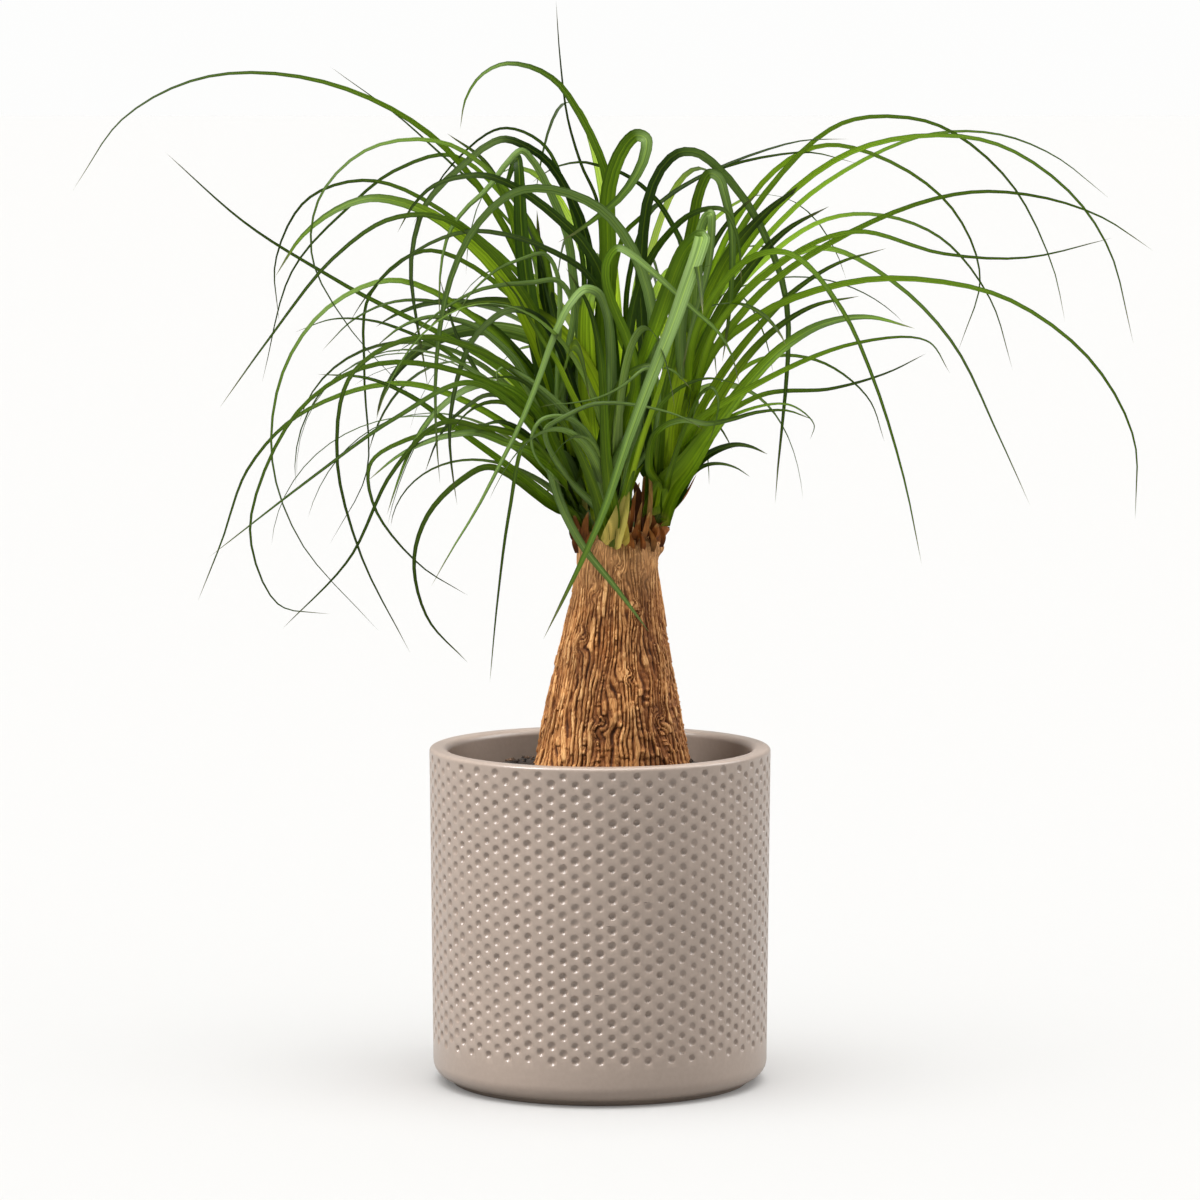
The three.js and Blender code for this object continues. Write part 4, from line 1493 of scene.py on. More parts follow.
LEFT_LEAVES = (
    fanned(8, -8, (-40, 430), (-83, 495), (-140, 526), (-201, 530), (-245, 509), (-272, 471)),
    fanned(7, 12, (-42, 367), (-136, 420), (-187, 451), (-231, 489)),
    fanned(6, 30, (-30, 425), (-96, 498), (-145, 534)),
    fanned(8, -18, (-30, 440), (-74, 493), (-116, 494), (-143, 470), (-148, 438), (-130, 402), (-96, 363)),
    fanned(8, 22, (-28, 405), (-83, 458), (-123, 474), (-157, 463), (-174, 430), (-172, 397)),
    fanned(7, 34, (-30, 430), (-75, 486), (-109, 479), (-136, 458), (-168, 422), (-185, 361)),
    fanned(8, -30, (-30, 400), (-75, 455), (-106, 458), (-136, 438), (-167, 399), (-192, 364)),
    fanned(8, -12, (-40, 380), (-103, 424), (-139, 412), (-163, 380), (-170, 334), (-156, 290), (-115, 241)),
    fanned(7, -34, (-45, 365), (-110, 385), (-150, 365), (-172, 325), (-176, 298), (-163, 265), (-137, 258)),
    fanned(7, 8, (-40, 340), (-100, 368), (-156, 353), (-186, 323), (-201, 283), (-214, 251)),
    fanned(7, -42, (-35, 350), (-66, 374), (-104, 358), (-144, 331), (-193, 295)),
    fanned(7, -24, (-40, 335), (-80, 352), (-107, 327), (-129, 283), (-163, 248)),
    fanned(7, -5, (-35, 338), (-65, 347), (-102, 340), (-120, 328), (-118, 305), (-95, 275), (-69, 258)),
    fanned(7, 15, (-35, 400), (-90, 438), (-122, 414), (-125, 370), (-124, 320), (-144, 281)),
    fanned(7, -38, (-35, 370), (-90, 398), (-126, 380), (-133, 340), (-122, 290), (-97, 236)),
    fanned(8, -14, (-21, 303), (-57, 327), (-73, 320), (-90, 302), (-97, 278), (-90, 248), (-69, 224)),
    fanned(5, -40, (-25, 330), (-38, 342), (-47, 305), (-53, 260), (-57, 218)),
    seen(8, GREEN, (2, -8, 400), (5, -10, 455), (3, -12, 478), (-3, -14, 495), (-12, -16, 512),
         (-22, -18, 526), (-35, -19, 534), (-50, -20, 536), (-62, -21, 530), (-70, -21, 518),
         (-73, -21, 502)),
    fanned(6, 20, (-2, 400), (-1, 462), (-10, 484), (-17, 508), (-21, 540), (-23, 569), look=DARK),
    fanned(7, 26, (-8, 420), (-18, 470), (-30, 494), (-52, 502), (-78, 483), (-100, 450), look=DARK),
    seen(6.5, PALE, (-10, -12, 380), (-14, -20, 425), (-17, -22, 447), (-25, -25, 467), (-33, -27, 483),
         (-41, -29, 491), (-49, -30, 484), (-59, -31, 471), (-70, -31, 461), (-78, -30, 450), (-82, -29, 438),
         (-84, -27, 422), (-84, -25, 400)),
    seen(11, DARK, (-28, -16, 370), (-37, -19, 415), (-41, -20, 450), (-42, -20, 478), (-43, -15, 487),
         (-46, -4, 482), (-52, 10, 462), fullness=1),
    seen(6.5, DARK, (-4, -10, 420), (-9, -10, 452), (-16, -11, 468), (-27, -13, 485), (-38, -15, 493),
         (-50, -17, 497), (-60, -19, 493), (-71, -21, 484), (-82, -23, 474), (-91, -25, 463), (-96, -26, 450),
         (-99, -27, 430), (-97, -27, 408), (-93, -26, 385), (-90, -25, 365)),
    seen(10, BRIGHT, (-20, -12, 350), (-34, -18, 392), (-46, -22, 417), (-59, -25, 434), (-72, -27, 446),
         (-87, -28, 457), (-104, -28, 464), (-120, -27, 466), (-138, -25, 460), (-156, -22, 446),
         (-170, -18, 425)),
    seen(9, BRIGHT, (-22, -4, 360), (-34, -2, 412), (-42, 0, 440), (-48, 2, 462), (-60, 5, 485),
         (-80, 10, 500)),
    seen(4.5, PALE, (-18, -26, 380), (-14, -30, 410), (-22, -33, 423), (-36, -35, 422), (-50, -36, 421),
         (-64, -36, 418), (-76, -36, 412), (-90, -35, 402), (-104, -34, 388)),
    seen(4.5, PALE, (-22, -28, 385), (-22, -32, 425), (-29, -34, 437), (-42, -36, 434), (-52, -37, 430),
         (-60, -38, 424), (-68, -38, 416), (-78, -38, 400)),
    seen(6.5, PALE, (-26, -14, 340), (-42, -20, 378), (-54, -24, 391), (-65, -26, 399), (-77, -27, 403),
         (-90, -28, 404), (-104, -28, 399), (-118, -27, 388)),
    seen(4.5, GREEN, (-30, -10, 340), (-55, -16, 365), (-72, -18, 380), (-85, -19, 389), (-100, -20, 396),
         (-118, -20, 402), (-140, -18, 403), (-160, -16, 396)),
    seen(4, DARK, (-25, -8, 360), (-48, -12, 392), (-62, -14, 403), (-78, -15, 410), (-95, -16, 413),
         (-112, -16, 411), (-130, -15, 402), (-146, -14, 386)),
    seen(4.5, PALE, (-28, -22, 335), (-50, -26, 362), (-62, -28, 372), (-70, -29, 385), (-76, -30, 397),
         (-80, -30, 410), (-84, -30, 425)),
    seen(6.5, GREEN, (-16, -20, 315), (-30, -26, 350), (-45, -30, 365), (-58, -32, 369), (-70, -33, 366),
         (-82, -33, 358), (-92, -32, 347), (-100, -31, 333), (-106, -30, 318), (-112, -28, 300)),
    seen(4.5, DARK, (-18, -22, 315), (-36, -28, 350), (-50, -31, 362), (-60, -32, 363), (-70, -32, 357),
         (-79, -31, 349), (-86, -30, 338), (-92, -29, 322)),
    seen(7, GREEN, (-18, -24, 318), (-36, -30, 333), (-50, -32, 338), (-64, -33, 343), (-78, -33, 342),
         (-92, -32, 338), (-106, -31, 331), (-122, -29, 318)),
    seen(5, GREEN, (-9, -3, 288), (-15, -9, 300), (-25, -15, 307), (-36, -18, 316), (-50, -20, 327),
         (-65, -21, 338), (-80, -22, 349), (-100, -22, 363), (-122, -21, 372), (-148, -19, 374), rooted=True),
    seen(4.5, DARK, (-20, -14, 320), (-38, -18, 342), (-52, -20, 349), (-68, -21, 345), fullness=1),
    seen(7, PALE, (-8, -4, 302), (-14, -9, 320), (-20, -13, 331), (-25, -17, 330), (-24, -20, 317),
         (-18, -22, 300), (-8, -25, 282), (8, -30, 262), (26, -33, 238), rooted=True),
    seen(10, GREEN, (-8, -6, 330), (-16, -8, 370), (-24, -10, 405), (-33, -12, 440), (-46, -12, 470)),
    seen(10, DARK, (-10, -2, 330), (-22, 0, 375), (-30, 2, 420), (-33, 4, 460)),
)

RIGHT_LEAVES = (
    *(
        fanned(*leaf, look=LIGHT)
        for leaf in (
            (8, 10, (50, 400), (84, 465), (125, 504), (160, 508), (186, 500), (218, 472), (240, 429),
             (247, 399)),
            (8, -8, (50, 390), (84, 453), (125, 488), (165, 499), (205, 495), (241, 472), (263, 441),
             (276, 392)),
            (7, 24, (55, 400), (95, 452), (125, 476), (172, 497), (212, 498), (245, 486), (277, 462)),
            (8, -22, (50, 370), (84, 419), (138, 455), (185, 471), (221, 470), (253, 460), (279, 443)),
            (7, -35, (60, 400), (100, 440), (131, 452), (172, 442), (212, 441), (253, 452)),
            (8, -14, (45, 370), (84, 407), (131, 424), (172, 425), (212, 415), (252, 385), (274, 345),
             (275, 303)),
            (7, 32, (60, 400), (110, 448), (145, 455), (185, 441), (213, 407), (226, 368)),
            (7, 18, (60, 430), (90, 478), (119, 493), (158, 482), (189, 457), (203, 422), (191, 382)),
            (8, 0, (50, 380), (90, 430), (118, 440), (154, 422), (185, 390), (209, 342), (226, 305)),
            (8, -40, (50, 400), (75, 436), (98, 440), (122, 414), (138, 379), (153, 330), (162, 286)),
            (8, -28, (45, 345), (84, 373), (131, 394), (167, 396), (178, 380)),
            (7, 38, (50, 350), (84, 378), (118, 376), (146, 354), (155, 330)),
            (8, 12, (45, 335), (84, 362), (122, 365), (152, 373), (173, 383)),
            (6, -18, (45, 335), (70, 354), (98, 360), (111, 350), (109, 342)),
        )
    ),
    seen(8.5, DARK, (24, -18, 330), (23, -24, 380), (21, -26, 415), (22, -26, 445), (25, -25, 466),
         (32, -23, 482), (41, -21, 490), (51, -19, 490), (61, -17, 483), (71, -15, 472), (84, -12, 452),
         (98, -8, 411), (92, -4, 306)),
    seen(8.5, GREEN, (36, -16, 380), (43, -20, 425), (48, -22, 450), (52, -23, 470), (57, -24, 479),
         (62, -25, 477), (66, -26, 465), (69, -26, 450), (69, -26, 425), (67, -25, 400), (64, -24, 380)),
    seen(8, PALE, (42, -30, 400), (50, -36, 440), (55, -40, 456), (58, -43, 458), (58.5, -45, 450),
         (57, -46, 432), (52, -47, 412), (47, -47, 395), (43, -46, 375), fullness=0.7),
    seen(10, LIGHT, (31, -4, 295), (33, -9, 304), (38, -13, 315), (46, -17, 325), (56, -18, 340),
         (66, -18, 354), (80, -17, 372), (96, -15, 388), (116, -13, 400), (140, -10, 404), (165, -8, 398),
         rooted=True, clasp=2.3),
    seen(8, GREEN, (28, -3, 297), (27, -8, 306), (28, -12, 322), (30, -16, 340), (33, -18, 362),
         (38, -20, 385), (46, -22, 412), (56, -22, 436), (68, -20, 455), (84, -18, 470), rooted=True,
         clasp=1.7),
    seen(11, BRIGHT, (32, -4, 300), (34, -9, 318), (36, -14, 345), (41, -17, 370), (48, -18, 395),
         (58, -18, 418), (70, -17, 440), (88, -15, 460), (110, -12, 476), fullness=0.8, rooted=True),
    seen(10, BRIGHT, (34, -8, 305), (40, -11, 340), (46, -13, 365), (55, -14, 390), (66, -14, 412),
         (80, -13, 432), (98, -11, 450), (120, -9, 462)),
    seen(5, GREEN, (26, -28, 325), (28, -34, 341), (34, -37, 347), (44, -38, 350), (56, -38, 348),
         (68, -37, 350), (82, -35, 354), (98, -33, 355), (112, -31, 350)),
    seen(6, BRIGHT, (38, -6, 310), (48, -8, 345), (58, -9, 365), (70, -10, 383), (84, -10, 400),
         (102, -9, 418), (124, -7, 432), (150, -5, 440)),
    seen(7, BRIGHT, (40, -10, 315), (53, -12, 344), (64, -13, 364), (76, -13, 382), (92, -12, 398),
         (112, -11, 410), (136, -9, 415)),
    seen(5.5, DARK, (40, -10, 308), (46, -13, 320), (52, -15, 328), (61, -17, 334), (71, -18, 337),
         (79, -18, 336), (88, -17, 332), fullness=0.8),
    seen(3.5, DARK, (42, -12, 310), (48, -15, 321), (55, -17, 326), (63, -18, 327), (71, -18, 325),
         (79, -17, 320)),
    seen(4, GREEN, (8, 10, 400), (12, 14, 446), (20, 16, 455), (30, 18, 463), (43, 20, 472), (56, 21, 479),
         (70, 21, 484), (88, 20, 488), (110, 18, 490), (135, 15, 484)),
    seen(4, DARK, (14, 6, 400), (24, 10, 455), (34, 12, 466), (46, 14, 474), (60, 15, 481), (80, 16, 489),
         (105, 16, 496), (130, 15, 497)),
    seen(3.5, GREEN, (36, -24, 320), (46, -32, 350), (54, -36, 365), (59, -38, 367), (62, -39, 361),
         (61, -39, 350), (57, -38, 338)),
    seen(4.5, DARK, (38, -14, 400), (43, -10, 440), (38, -6, 452), (28, -4, 467), (14, -4, 478), (0, -6, 483),
         (-10, -8, 485), (-24, -10, 482), (-36, -12, 474)),
)

FRONT_LEAVES = (
    seen(10.5, GREEN, (30, -44, 400), (44, -62, 438), (53, -80, 446), (52, -96, 440), (45, -118, 420),
         (38, -138, 400), (26, -162, 370), (14, -182, 338), (3, -198, 305), (-9, -211, 277),
         (-30, -225, 234)),
    seen(7, PALE, (6, -40, 385), (4, -46, 406), (-1, -50, 417), (-8, -53, 419), (-16, -56, 411),
         (-24, -58, 395), (-33, -60, 370), (-42, -61, 348), (-52, -62, 328), (-65, -62, 303), (-79, -62, 280),
         (-89, -62, 262)),
    seen(13, BRIGHT, (-3, -12, 330), (-6, -16, 370), (-7, -18, 400), (-6, -16, 414), (-3, -8, 419),
         (0, 0, 412), (4, 8, 395), fullness=1),
    seen(8, BRIGHT, (24, -14, 340), (27, -16, 385), (24, -18, 415), (16, -18, 438), (6, -16, 458)),
    seen(7.5, GREEN, (19, -40, 370), (14, -44, 394), (7, -47, 410), (3, -50, 424), (4, -52, 434),
         (9, -54, 440), (16, -56, 437), (26, -58, 429), (36, -60, 420), (50, -62, 407), (62, -64, 396),
         (69, -64, 384), (73, -64, 368)),
    seen(6, GREEN, (3, -26, 325), (5, -32, 350), (9, -38, 367), (17, -44, 376), (27, -48, 379),
         (38, -50, 376), (48, -52, 366)),
    seen(4.2, BRIGHT, (11, -18, 286), (12.4, -25, 303), (16.6, -33, 321), (22.3, -41, 341), (32, -48, 370),
         (39, -52, 398), (43, -54, 415), (50, -54, 428), (60, -52, 432), rooted=True, clasp=0.9),
    seen(6, PALE, (2, -26, 310), (-3, -32, 330), (-14, -38, 350), (-28, -42, 364), (-40, -45, 373),
         (-50, -46, 378), (-54, -46, 375), (-53, -45, 368), fullness=0.8),
    seen(5.5, DARK, (2, -22, 310), (-8, -28, 345), (-20, -32, 385), (-30, -35, 402), (-42, -37, 408),
         (-50, -38, 407), (-60, -38, 400), (-68, -38, 390), (-73, -37, 378), (-77, -36, 362), (-79, -35, 345),
         (-78, -34, 326), (-75, -33, 305)),
    seen(5, BRIGHT, (2, -24, 320), (-8, -32, 350), (-16, -37, 367), (-22, -40, 380), (-30, -41, 392),
         (-38, -40, 405), (-44, -38, 416), (-55, -34, 428)),
    seen(7.5, PALE, (9, -24, 305), (18, -32, 345), (26, -36, 378), (28, -38, 400), (23, -40, 425),
         (13, -42, 446), (2, -44, 459), (-12, -46, 467), (-28, -48, 471), (-42, -50, 470), (-54, -52, 463),
         (-65, -53, 451), (-73, -54, 437), (-79, -54, 421), (-83, -53, 403), (-86, -52, 375), (-86, -50, 345),
         (-84, -48, 316)),
    seen(5, DARK, (5, -22, 310), (9, -30, 370), (4, -36, 408), (-8, -40, 428), (-28, -43, 440),
         (-48, -45, 447), (-68, -46, 449), (-86, -46, 444), (-104, -45, 433), (-120, -43, 418),
         (-132, -41, 400)),
    seen(8.5, DARK, (6, -20, 320), (6, -26, 390), (1, -30, 425), (-9, -33, 443), (-20, -35, 454),
         (-32, -37, 464), (-46, -38, 473), (-60, -39, 478), (-75, -39, 477), (-88, -38, 472), (-98, -37, 462),
         (-106, -36, 448)),
    seen(4.5, PALE, (4, -24, 305), (0, -34, 330), (-9, -42, 346), (-20, -47, 352), (-31, -50, 350),
         (-36, -50, 341), (-34, -50, 331), (-27, -50, 322), (-17, -49, 313)),
    seen(4, PALE, (-16, -24, 318), (-28, -44, 338), (-28, -54, 346), (-18, -58, 352), (-5, -60, 358),
         (8, -61, 359), (24, -61, 357), (42, -60, 352), (56, -58, 344)),
    seen(3, PALE, (28, -30, 340), (30, -44, 372), (24, -52, 377), (12, -56, 368), (0, -58, 362),
         (-14, -60, 359), (-26, -60, 358), (-34, -60, 356)),
    seen(10.5, GREEN, (3, -16, 400), (4, -20, 440), (4, -20, 468), (8, -20, 484), (14, -20, 495),
         (19, -22, 499), (24, -25, 497), (23, -29, 487), (17, -33, 475), (9, -36, 465), (-2, -39, 456),
         (-13, -41, 448), (-22, -42, 443), fullness=0.8),
    seen(7.5, DARK, (12, -30, 370), (18, -34, 412), (26, -37, 434), (35, -39, 447), (46, -40, 457),
         (57, -41, 461), (65, -41, 460), (70, -41, 452), (73, -40, 440), (74, -39, 420)),
    seen(7, GREEN, (4, -17, 284), (2, -24, 297), (-1, -30, 310), (-8, -36, 328), (-17, -41, 345),
         (-30, -44, 362), (-44, -45, 372), (-62, -44, 372), rooted=True),
    seen(7, GREEN, (6, -18, 284), (7, -25, 299), (5, -32, 315), (3, -36, 335), (2, -40, 360), (0, -42, 385),
         (-6, -43, 410), (-18, -42, 430), rooted=True),
    seen(5, GREEN, (9, -18, 284), (11, -25, 301), (15, -33, 320), (20, -38, 338), (27, -42, 352),
         (40, -45, 366), (56, -46, 372), (76, -45, 368), rooted=True),
)

FRONT_FEET = (
    seen(12, BRIGHT, (7, -18, 283.5), (8.5, -23, 290), (11.5, -27, 300), (15, -30, 316), rooted=True),
    seen(7, BRIGHT, (11.5, -18, 284), (12.6, -23, 289), (12.6, -26, 295), (11.5, -27, 301), rooted=True),
)


@dataclass(frozen=True)
class HeadPlan:
    """How one leaf head grows, in millimetres and degrees. Ranges go from its inner to its outer leaves."""

    name: str
    seed: int
    foot: Place
    lean: Place
    heading: float
    spread: float
    hearts: int
    leaves: tuple[PlacedLeaf, ...] = ()
    feet: tuple[PlacedLeaf, ...] = ()
    fill: int = 0
    steepness: Pair = (84, 46)
    fall: Pair = (-68, -85)
    length: Pair = (345, 250)
    extra: int = 0
    extra_length: Pair = (220, 150)
    girth: float = 1.0

    def frame(self) -> Matrix:
        """Returns the head's own frame: its foot, with Z along the way that it leans."""
        turn = UP.rotation_difference(Vector(self.lean)).to_matrix().to_4x4()
        scale = Matrix.Diagonal((self.girth, self.girth, 1.0, 1.0))
        return Matrix.Translation(Vector(self.foot) * MM) @ turn @ scale


HEAD_PLANS = (
    HeadPlan(
        "head_left", 11, (-5, 0, 288), (-0.42, 0, 0.9), 180, 47, 3, LEFT_LEAVES, fill=6, steepness=(80, 46),
        fall=(-84, -88), length=(250, 190), extra=3, extra_length=(170, 110),
    ),
    HeadPlan("head_right", 23, (29, 0, 297), (0.36, 0, 0.93), 0, 47, 2, RIGHT_LEAVES, girth=1.22),
    HeadPlan(
        "head_front", 37, (7, -17, 288), (-0.05, -0.12, 0.98), -90, 38, 1, FRONT_LEAVES, FRONT_FEET, fill=3,
        steepness=(86, 62), fall=(-66, -62), length=(300, 170), extra=1, extra_length=(170, 90), girth=0.72,
    ),
    HeadPlan("head_back", 41, (12, 15, 288), (0, 0.3, 0.95), 90, 38, 5, fill=18, extra=5),
)


class LeafHead:
    """A head of strap leaves, bent from the blanks, whose wide bases clasp one short stem."""

    ROOTS_TO = 34 * MM
    STEM = 3.2 * MM
    SHEATH = ((0, -7.5), (2, -7), (4.4, -4.5), (5.9, -1), (6.5, 4), (6.2, 10), (5.2, 18), (4.2, 28), (0, 38))
    SHEATH_LOOK = ((0.04, 0.1), 0.4)  # the shares of a leaf's length that it looks like, and its tone
    FEET_LOOK = ((-0.05, 0.0), 0.95)
    CLEAR = 22 * MM  # how far up a placed leaf runs beside the others before it swings out
    ROOTS = (0.85, 0.1)  # how far up the stem the filling leaves start
    HEART_ROOTS = (0.95, 0.5)
    HEART_LENGTHS = (150, 240)
    HEART_RISES = (88, 70)
    HEART_DROPS = (-90, -30)
    HEART_WIDTHS = (8, 11.5)
    HEART_FULLNESS = 0.8
    EXTRA_ROOTS = (0.95, 0.0)
    EXTRA_FRESHNESS = (1.0, 0.1)
    EXTRA_RISES = (84, 44)
    EXTRA_DROPS = (-50, -80)
    EXTRA_WIDTHS = (5, 8.5)

    def __init__(self, plan: HeadPlan, broad: LeafBlank, slight: LeafBlank) -> None:
        """Plans the head's leaves.

        Args:
            plan: How the head grows.
            broad: The strap that its main leaves are bent from.
            slight: The plainer strap for the leaves that fill it.
        """
        self.plan = plan
        self.broad = broad
        self.slight = slight
        self.foot = Vector(plan.foot) * MM
        self.lean = Vector(plan.lean).normalized()
        self.chance = random.Random(plan.seed)

    def root_at(self, share: float, way: Vector) -> Vector:
        """Returns where a leaf of a level heading leaves the stem, a share of the way up."""
        return self.foot + self.lean * self.ROOTS_TO * share + way * self.STEM * (1 - 0.6 * share)

    def placed(self, leaves: Sequence[PlacedLeaf], blank: LeafBlank) -> list[Mesh]:
        """Grows leaves that are placed one by one, bent from a blank, and returns them."""
        return [blank.bent(self.placed_blade(leaf, blank.along)) for leaf in leaves]

    def placed_blade(self, leaf: PlacedLeaf, steps: int) -> Blade:
        """Turns a placed leaf into a blade, which leaves the stem unless it has its own root.

        Args:
            leaf: The leaf.
            steps: How many steps its path has.

        Returns:
            The blade.
        """
        places = [Vector(place) * MM for place in leaf.places]
        if not leaf.rooted:
            way = places[0] - self.foot
            way.z = 0.0
            root = self.root_at(mix(0.1, 0.9, smoothstep(leaf.places[0][2], 310, 420)), way.normalized())
            first = (places[0] - root).normalized()
            clear = root + (self.lean + first).normalized() * min(self.CLEAR, (places[0] - root).length * 0.4)
            places = [root, clear, *places]
        tone, fresh, shown = leaf.look.value
        return Blade(
            path=through(places, steps),
            width=leaf.width * self.chance.uniform(0.9, 1.02) * MM,
            roll=math.radians(self.chance.uniform(-24, 24)),
            twist=math.radians(self.chance.uniform(-34, 34)),
            fresh=fresh * self.chance.uniform(0.7, 1.0),
            tone=min(max(tone + self.chance.uniform(-0.15, 0.15), 0.0), 1.0),
            turned_by=0.01 if leaf.rooted else 0.25,
            sheen_paling=leaf.sheen_paling,
            clasp=leaf.clasp,
            fullness=leaf.fullness,
            shown=shown,
        )

    def filling(self) -> list[Mesh]:
        """Grows the leaves that fill the head, by the rule of the CAD part's source.

        Returns:
            Their meshes.
        """
        draw = seeded(self.plan.seed)
        for _ in self.plan.leaves:
            draw()
        meshes = []
        for leaf in range(self.plan.fill):
            outward = (leaf + 0.5) / self.plan.fill
            way = self.plan.heading + mix(-self.plan.spread, self.plan.spread, leaf * GOLDEN_SHARE % 1)
            length = mix(*self.plan.length, outward) * mix(0.8, 1.2, draw())
            rise = mix(*self.plan.steepness, outward) + mix(-2, 2, draw())
            drop = mix(*self.plan.fall, outward) + mix(-12, 12, draw())
            width = mix(6, 8.5, draw())
            draw()  # the source's own turn of the leaf, which isn't followed
            root = mix(*self.ROOTS, outward)
            path = self.arched(root, way, length, rise, drop, self.slight.along)
            meshes.append(self.slight.bent(self.free_blade(path, width, root)))
        return meshes

    def hearts(self) -> list[Mesh]:
        """Grows the broad bright leaves that stand in the middle of the head.

        Returns:
            Their meshes.
        """
        meshes = []
        for leaf in range(self.plan.hearts):
            share = leaf / self.plan.hearts
            way = self.plan.heading + mix(-150, 150, (leaf * GOLDEN_SHARE + 0.2) % 1)
            length = mix(*self.HEART_LENGTHS, self.chance.random())
            rise, drop = mix(*self.HEART_RISES, share), self.chance.uniform(*self.HEART_DROPS)
            path = self.arched(mix(*self.HEART_ROOTS, share), way, length, rise, drop, self.broad.along)
            width, fresh = self.chance.uniform(*self.HEART_WIDTHS), self.chance.uniform(0.7, 1.0)
            meshes.append(self.broad.bent(self.free_blade(path, width, fresh, self.HEART_FULLNESS)))
        return meshes

    def extras(self) -> list[Mesh]:
        """Grows the shorter leaves that close the gaps between the others.

        Returns:
            Their meshes.
        """
        meshes = []
        spread = self.plan.spread * 1.2
        for leaf in range(self.plan.extra):
            outward = (leaf + 0.5) / self.plan.extra
            way = self.plan.heading + mix(-spread, spread, (leaf * GOLDEN_SHARE + 0.37) % 1)
            length = mix(*self.plan.extra_length, outward) * self.chance.uniform(0.7, 1.25)
            rise = mix(*self.EXTRA_RISES, outward) + self.chance.uniform(-6, 6)
            drop = mix(*self.EXTRA_DROPS, outward) + self.chance.uniform(-25, 30)
            path = self.arched(mix(*self.EXTRA_ROOTS, outward), way, length, rise, drop, self.slight.along)
            width, fresh = self.chance.uniform(*self.EXTRA_WIDTHS), mix(*self.EXTRA_FRESHNESS, outward)
            meshes.append(self.slight.bent(self.free_blade(path, width, fresh)))
        return meshes

    def free_blade(
        self, path: tuple[Vector, ...], width: float, fresh: float, fullness: float = 0.0
    ) -> Blade:
        """Gives a leaf of a path, a width in millimetres and an age its own turn and tone, and returns it."""
        facing, twist = math.radians(self.chance.uniform(-75, 75)), math.radians(self.chance.uniform(-50, 50))
        # The tone stays below 0.6, so that these leaves deep in the head darken its gaps: painted shade.
        return Blade(path, width * MM, facing, twist, fresh, self.chance.uniform(0.0, 0.6), fullness=fullness)

    def arched(
        self, share: float, way: float, length: float, rise: float, drop: float, steps: int
    ) -> tuple[Vector, ...]:
        """Draws the path of a leaf that leaves the stem, rises and arches over towards its tip.

        Args:
            share: How far up the stem it starts, from 0 to 1.
            way: Its heading in degrees.
            length: Its length in millimetres.
            rise: How steep it is at its root, in degrees.
            drop: How steep it is at its tip, in degrees.
            steps: How many steps the path has.

        Returns:
            The path.
        """
        outwards = level_way(math.radians(way))
        aside = UP.cross(outwards)
        sway, bow = self.chance.uniform(-24, 24) * MM, self.chance.uniform(1.1, 2.0)
        path = [self.root_at(share, outwards)]
        for step in range(steps):
            done = (step + 0.5) / steps
            steep = math.radians(mix(rise, drop, done**bow))
            free = outwards * math.cos(steep) + UP * math.sin(steep)
            way_now = self.lean.lerp(free, smoothstep(done, 0.0, 0.14)).normalized()
            path.append(path[-1] + way_now * (length * MM / steps))
        return tuple(point + aside * sway * (step / steps) ** 2 for step, point in enumerate(path))

    def sheath(self) -> Mesh:
        """Turns the sheath that the leaves grow from.

        Returns:
            Its mesh.
        """
        mesh = shell("sheath", self.SHEATH)
        LeafBlank.dress_shell(mesh, *self.SHEATH_LOOK)
        mesh.transform(self.plan.frame())
        return mesh

    def feet(self) -> list[Mesh]:
        """Grows the short pale leaf feet that are left of the oldest leaves.

        Returns:
            Their meshes.
        """
        meshes = self.placed(self.plan.feet, self.slight)
        for mesh in meshes:
            LeafBlank.dress_shell(mesh, *self.FEET_LOOK)
        return meshes

    def build(self, finish: Material) -> None:
        """Builds the head in place of its CAD node.

        Args:
            finish: The leaves' finish.
        """
        placed = [self.sheath(), *self.feet(), *self.placed(self.plan.leaves, self.broad)]
        free = [*self.filling(), *self.hearts(), *self.extras()]
        head = gathered(f"leaves_{self.plan.name}", [*placed, *free])
        finished(head, finish, Slot.LEAF, 48, stands_for=self.plan.name)


def shell(name: str, outline: Sequence[Pair]) -> Mesh:
    """Turns the mesh of a shell that stands upright on the origin.

    Args:
        name: Its name.
        outline: Its radius and height, point by point, in millimetres.

    Returns:
        The mesh.
    """
    steps = 40
    piece = faced_outwards(turned(name, [(radius * MM, height * MM) for radius, height in outline], steps))
    mesh = piece.data
    bpy.data.objects.remove(piece)
    return mesh


def gathered(name: str, meshes: Sequence[Mesh]) -> Object:
    """Gathers meshes into one object and drops them.

    Args:
        name: The object's name.
        meshes: The meshes, in place.

    Returns:
        The object.
    """
    heap = bmesh.new()
    for mesh in meshes:
        heap.from_mesh(mesh)
        bpy.data.meshes.remove(mesh)
    whole = bpy.data.meshes.new(name)
    heap.to_mesh(whole)
    heap.free()
    return linked(name, whole)


@dataclass(frozen=True)
class Scale:
    """A dry leaf base that is left standing: where it starts and ends, and its width, in millimetres."""

    foot: Place
    tip: Place
    width: float
    turn: float = 0.0
    tone: float = 0.5  # from 0 for a dark one, painted shade in the gaps, to 1 for a bleached one


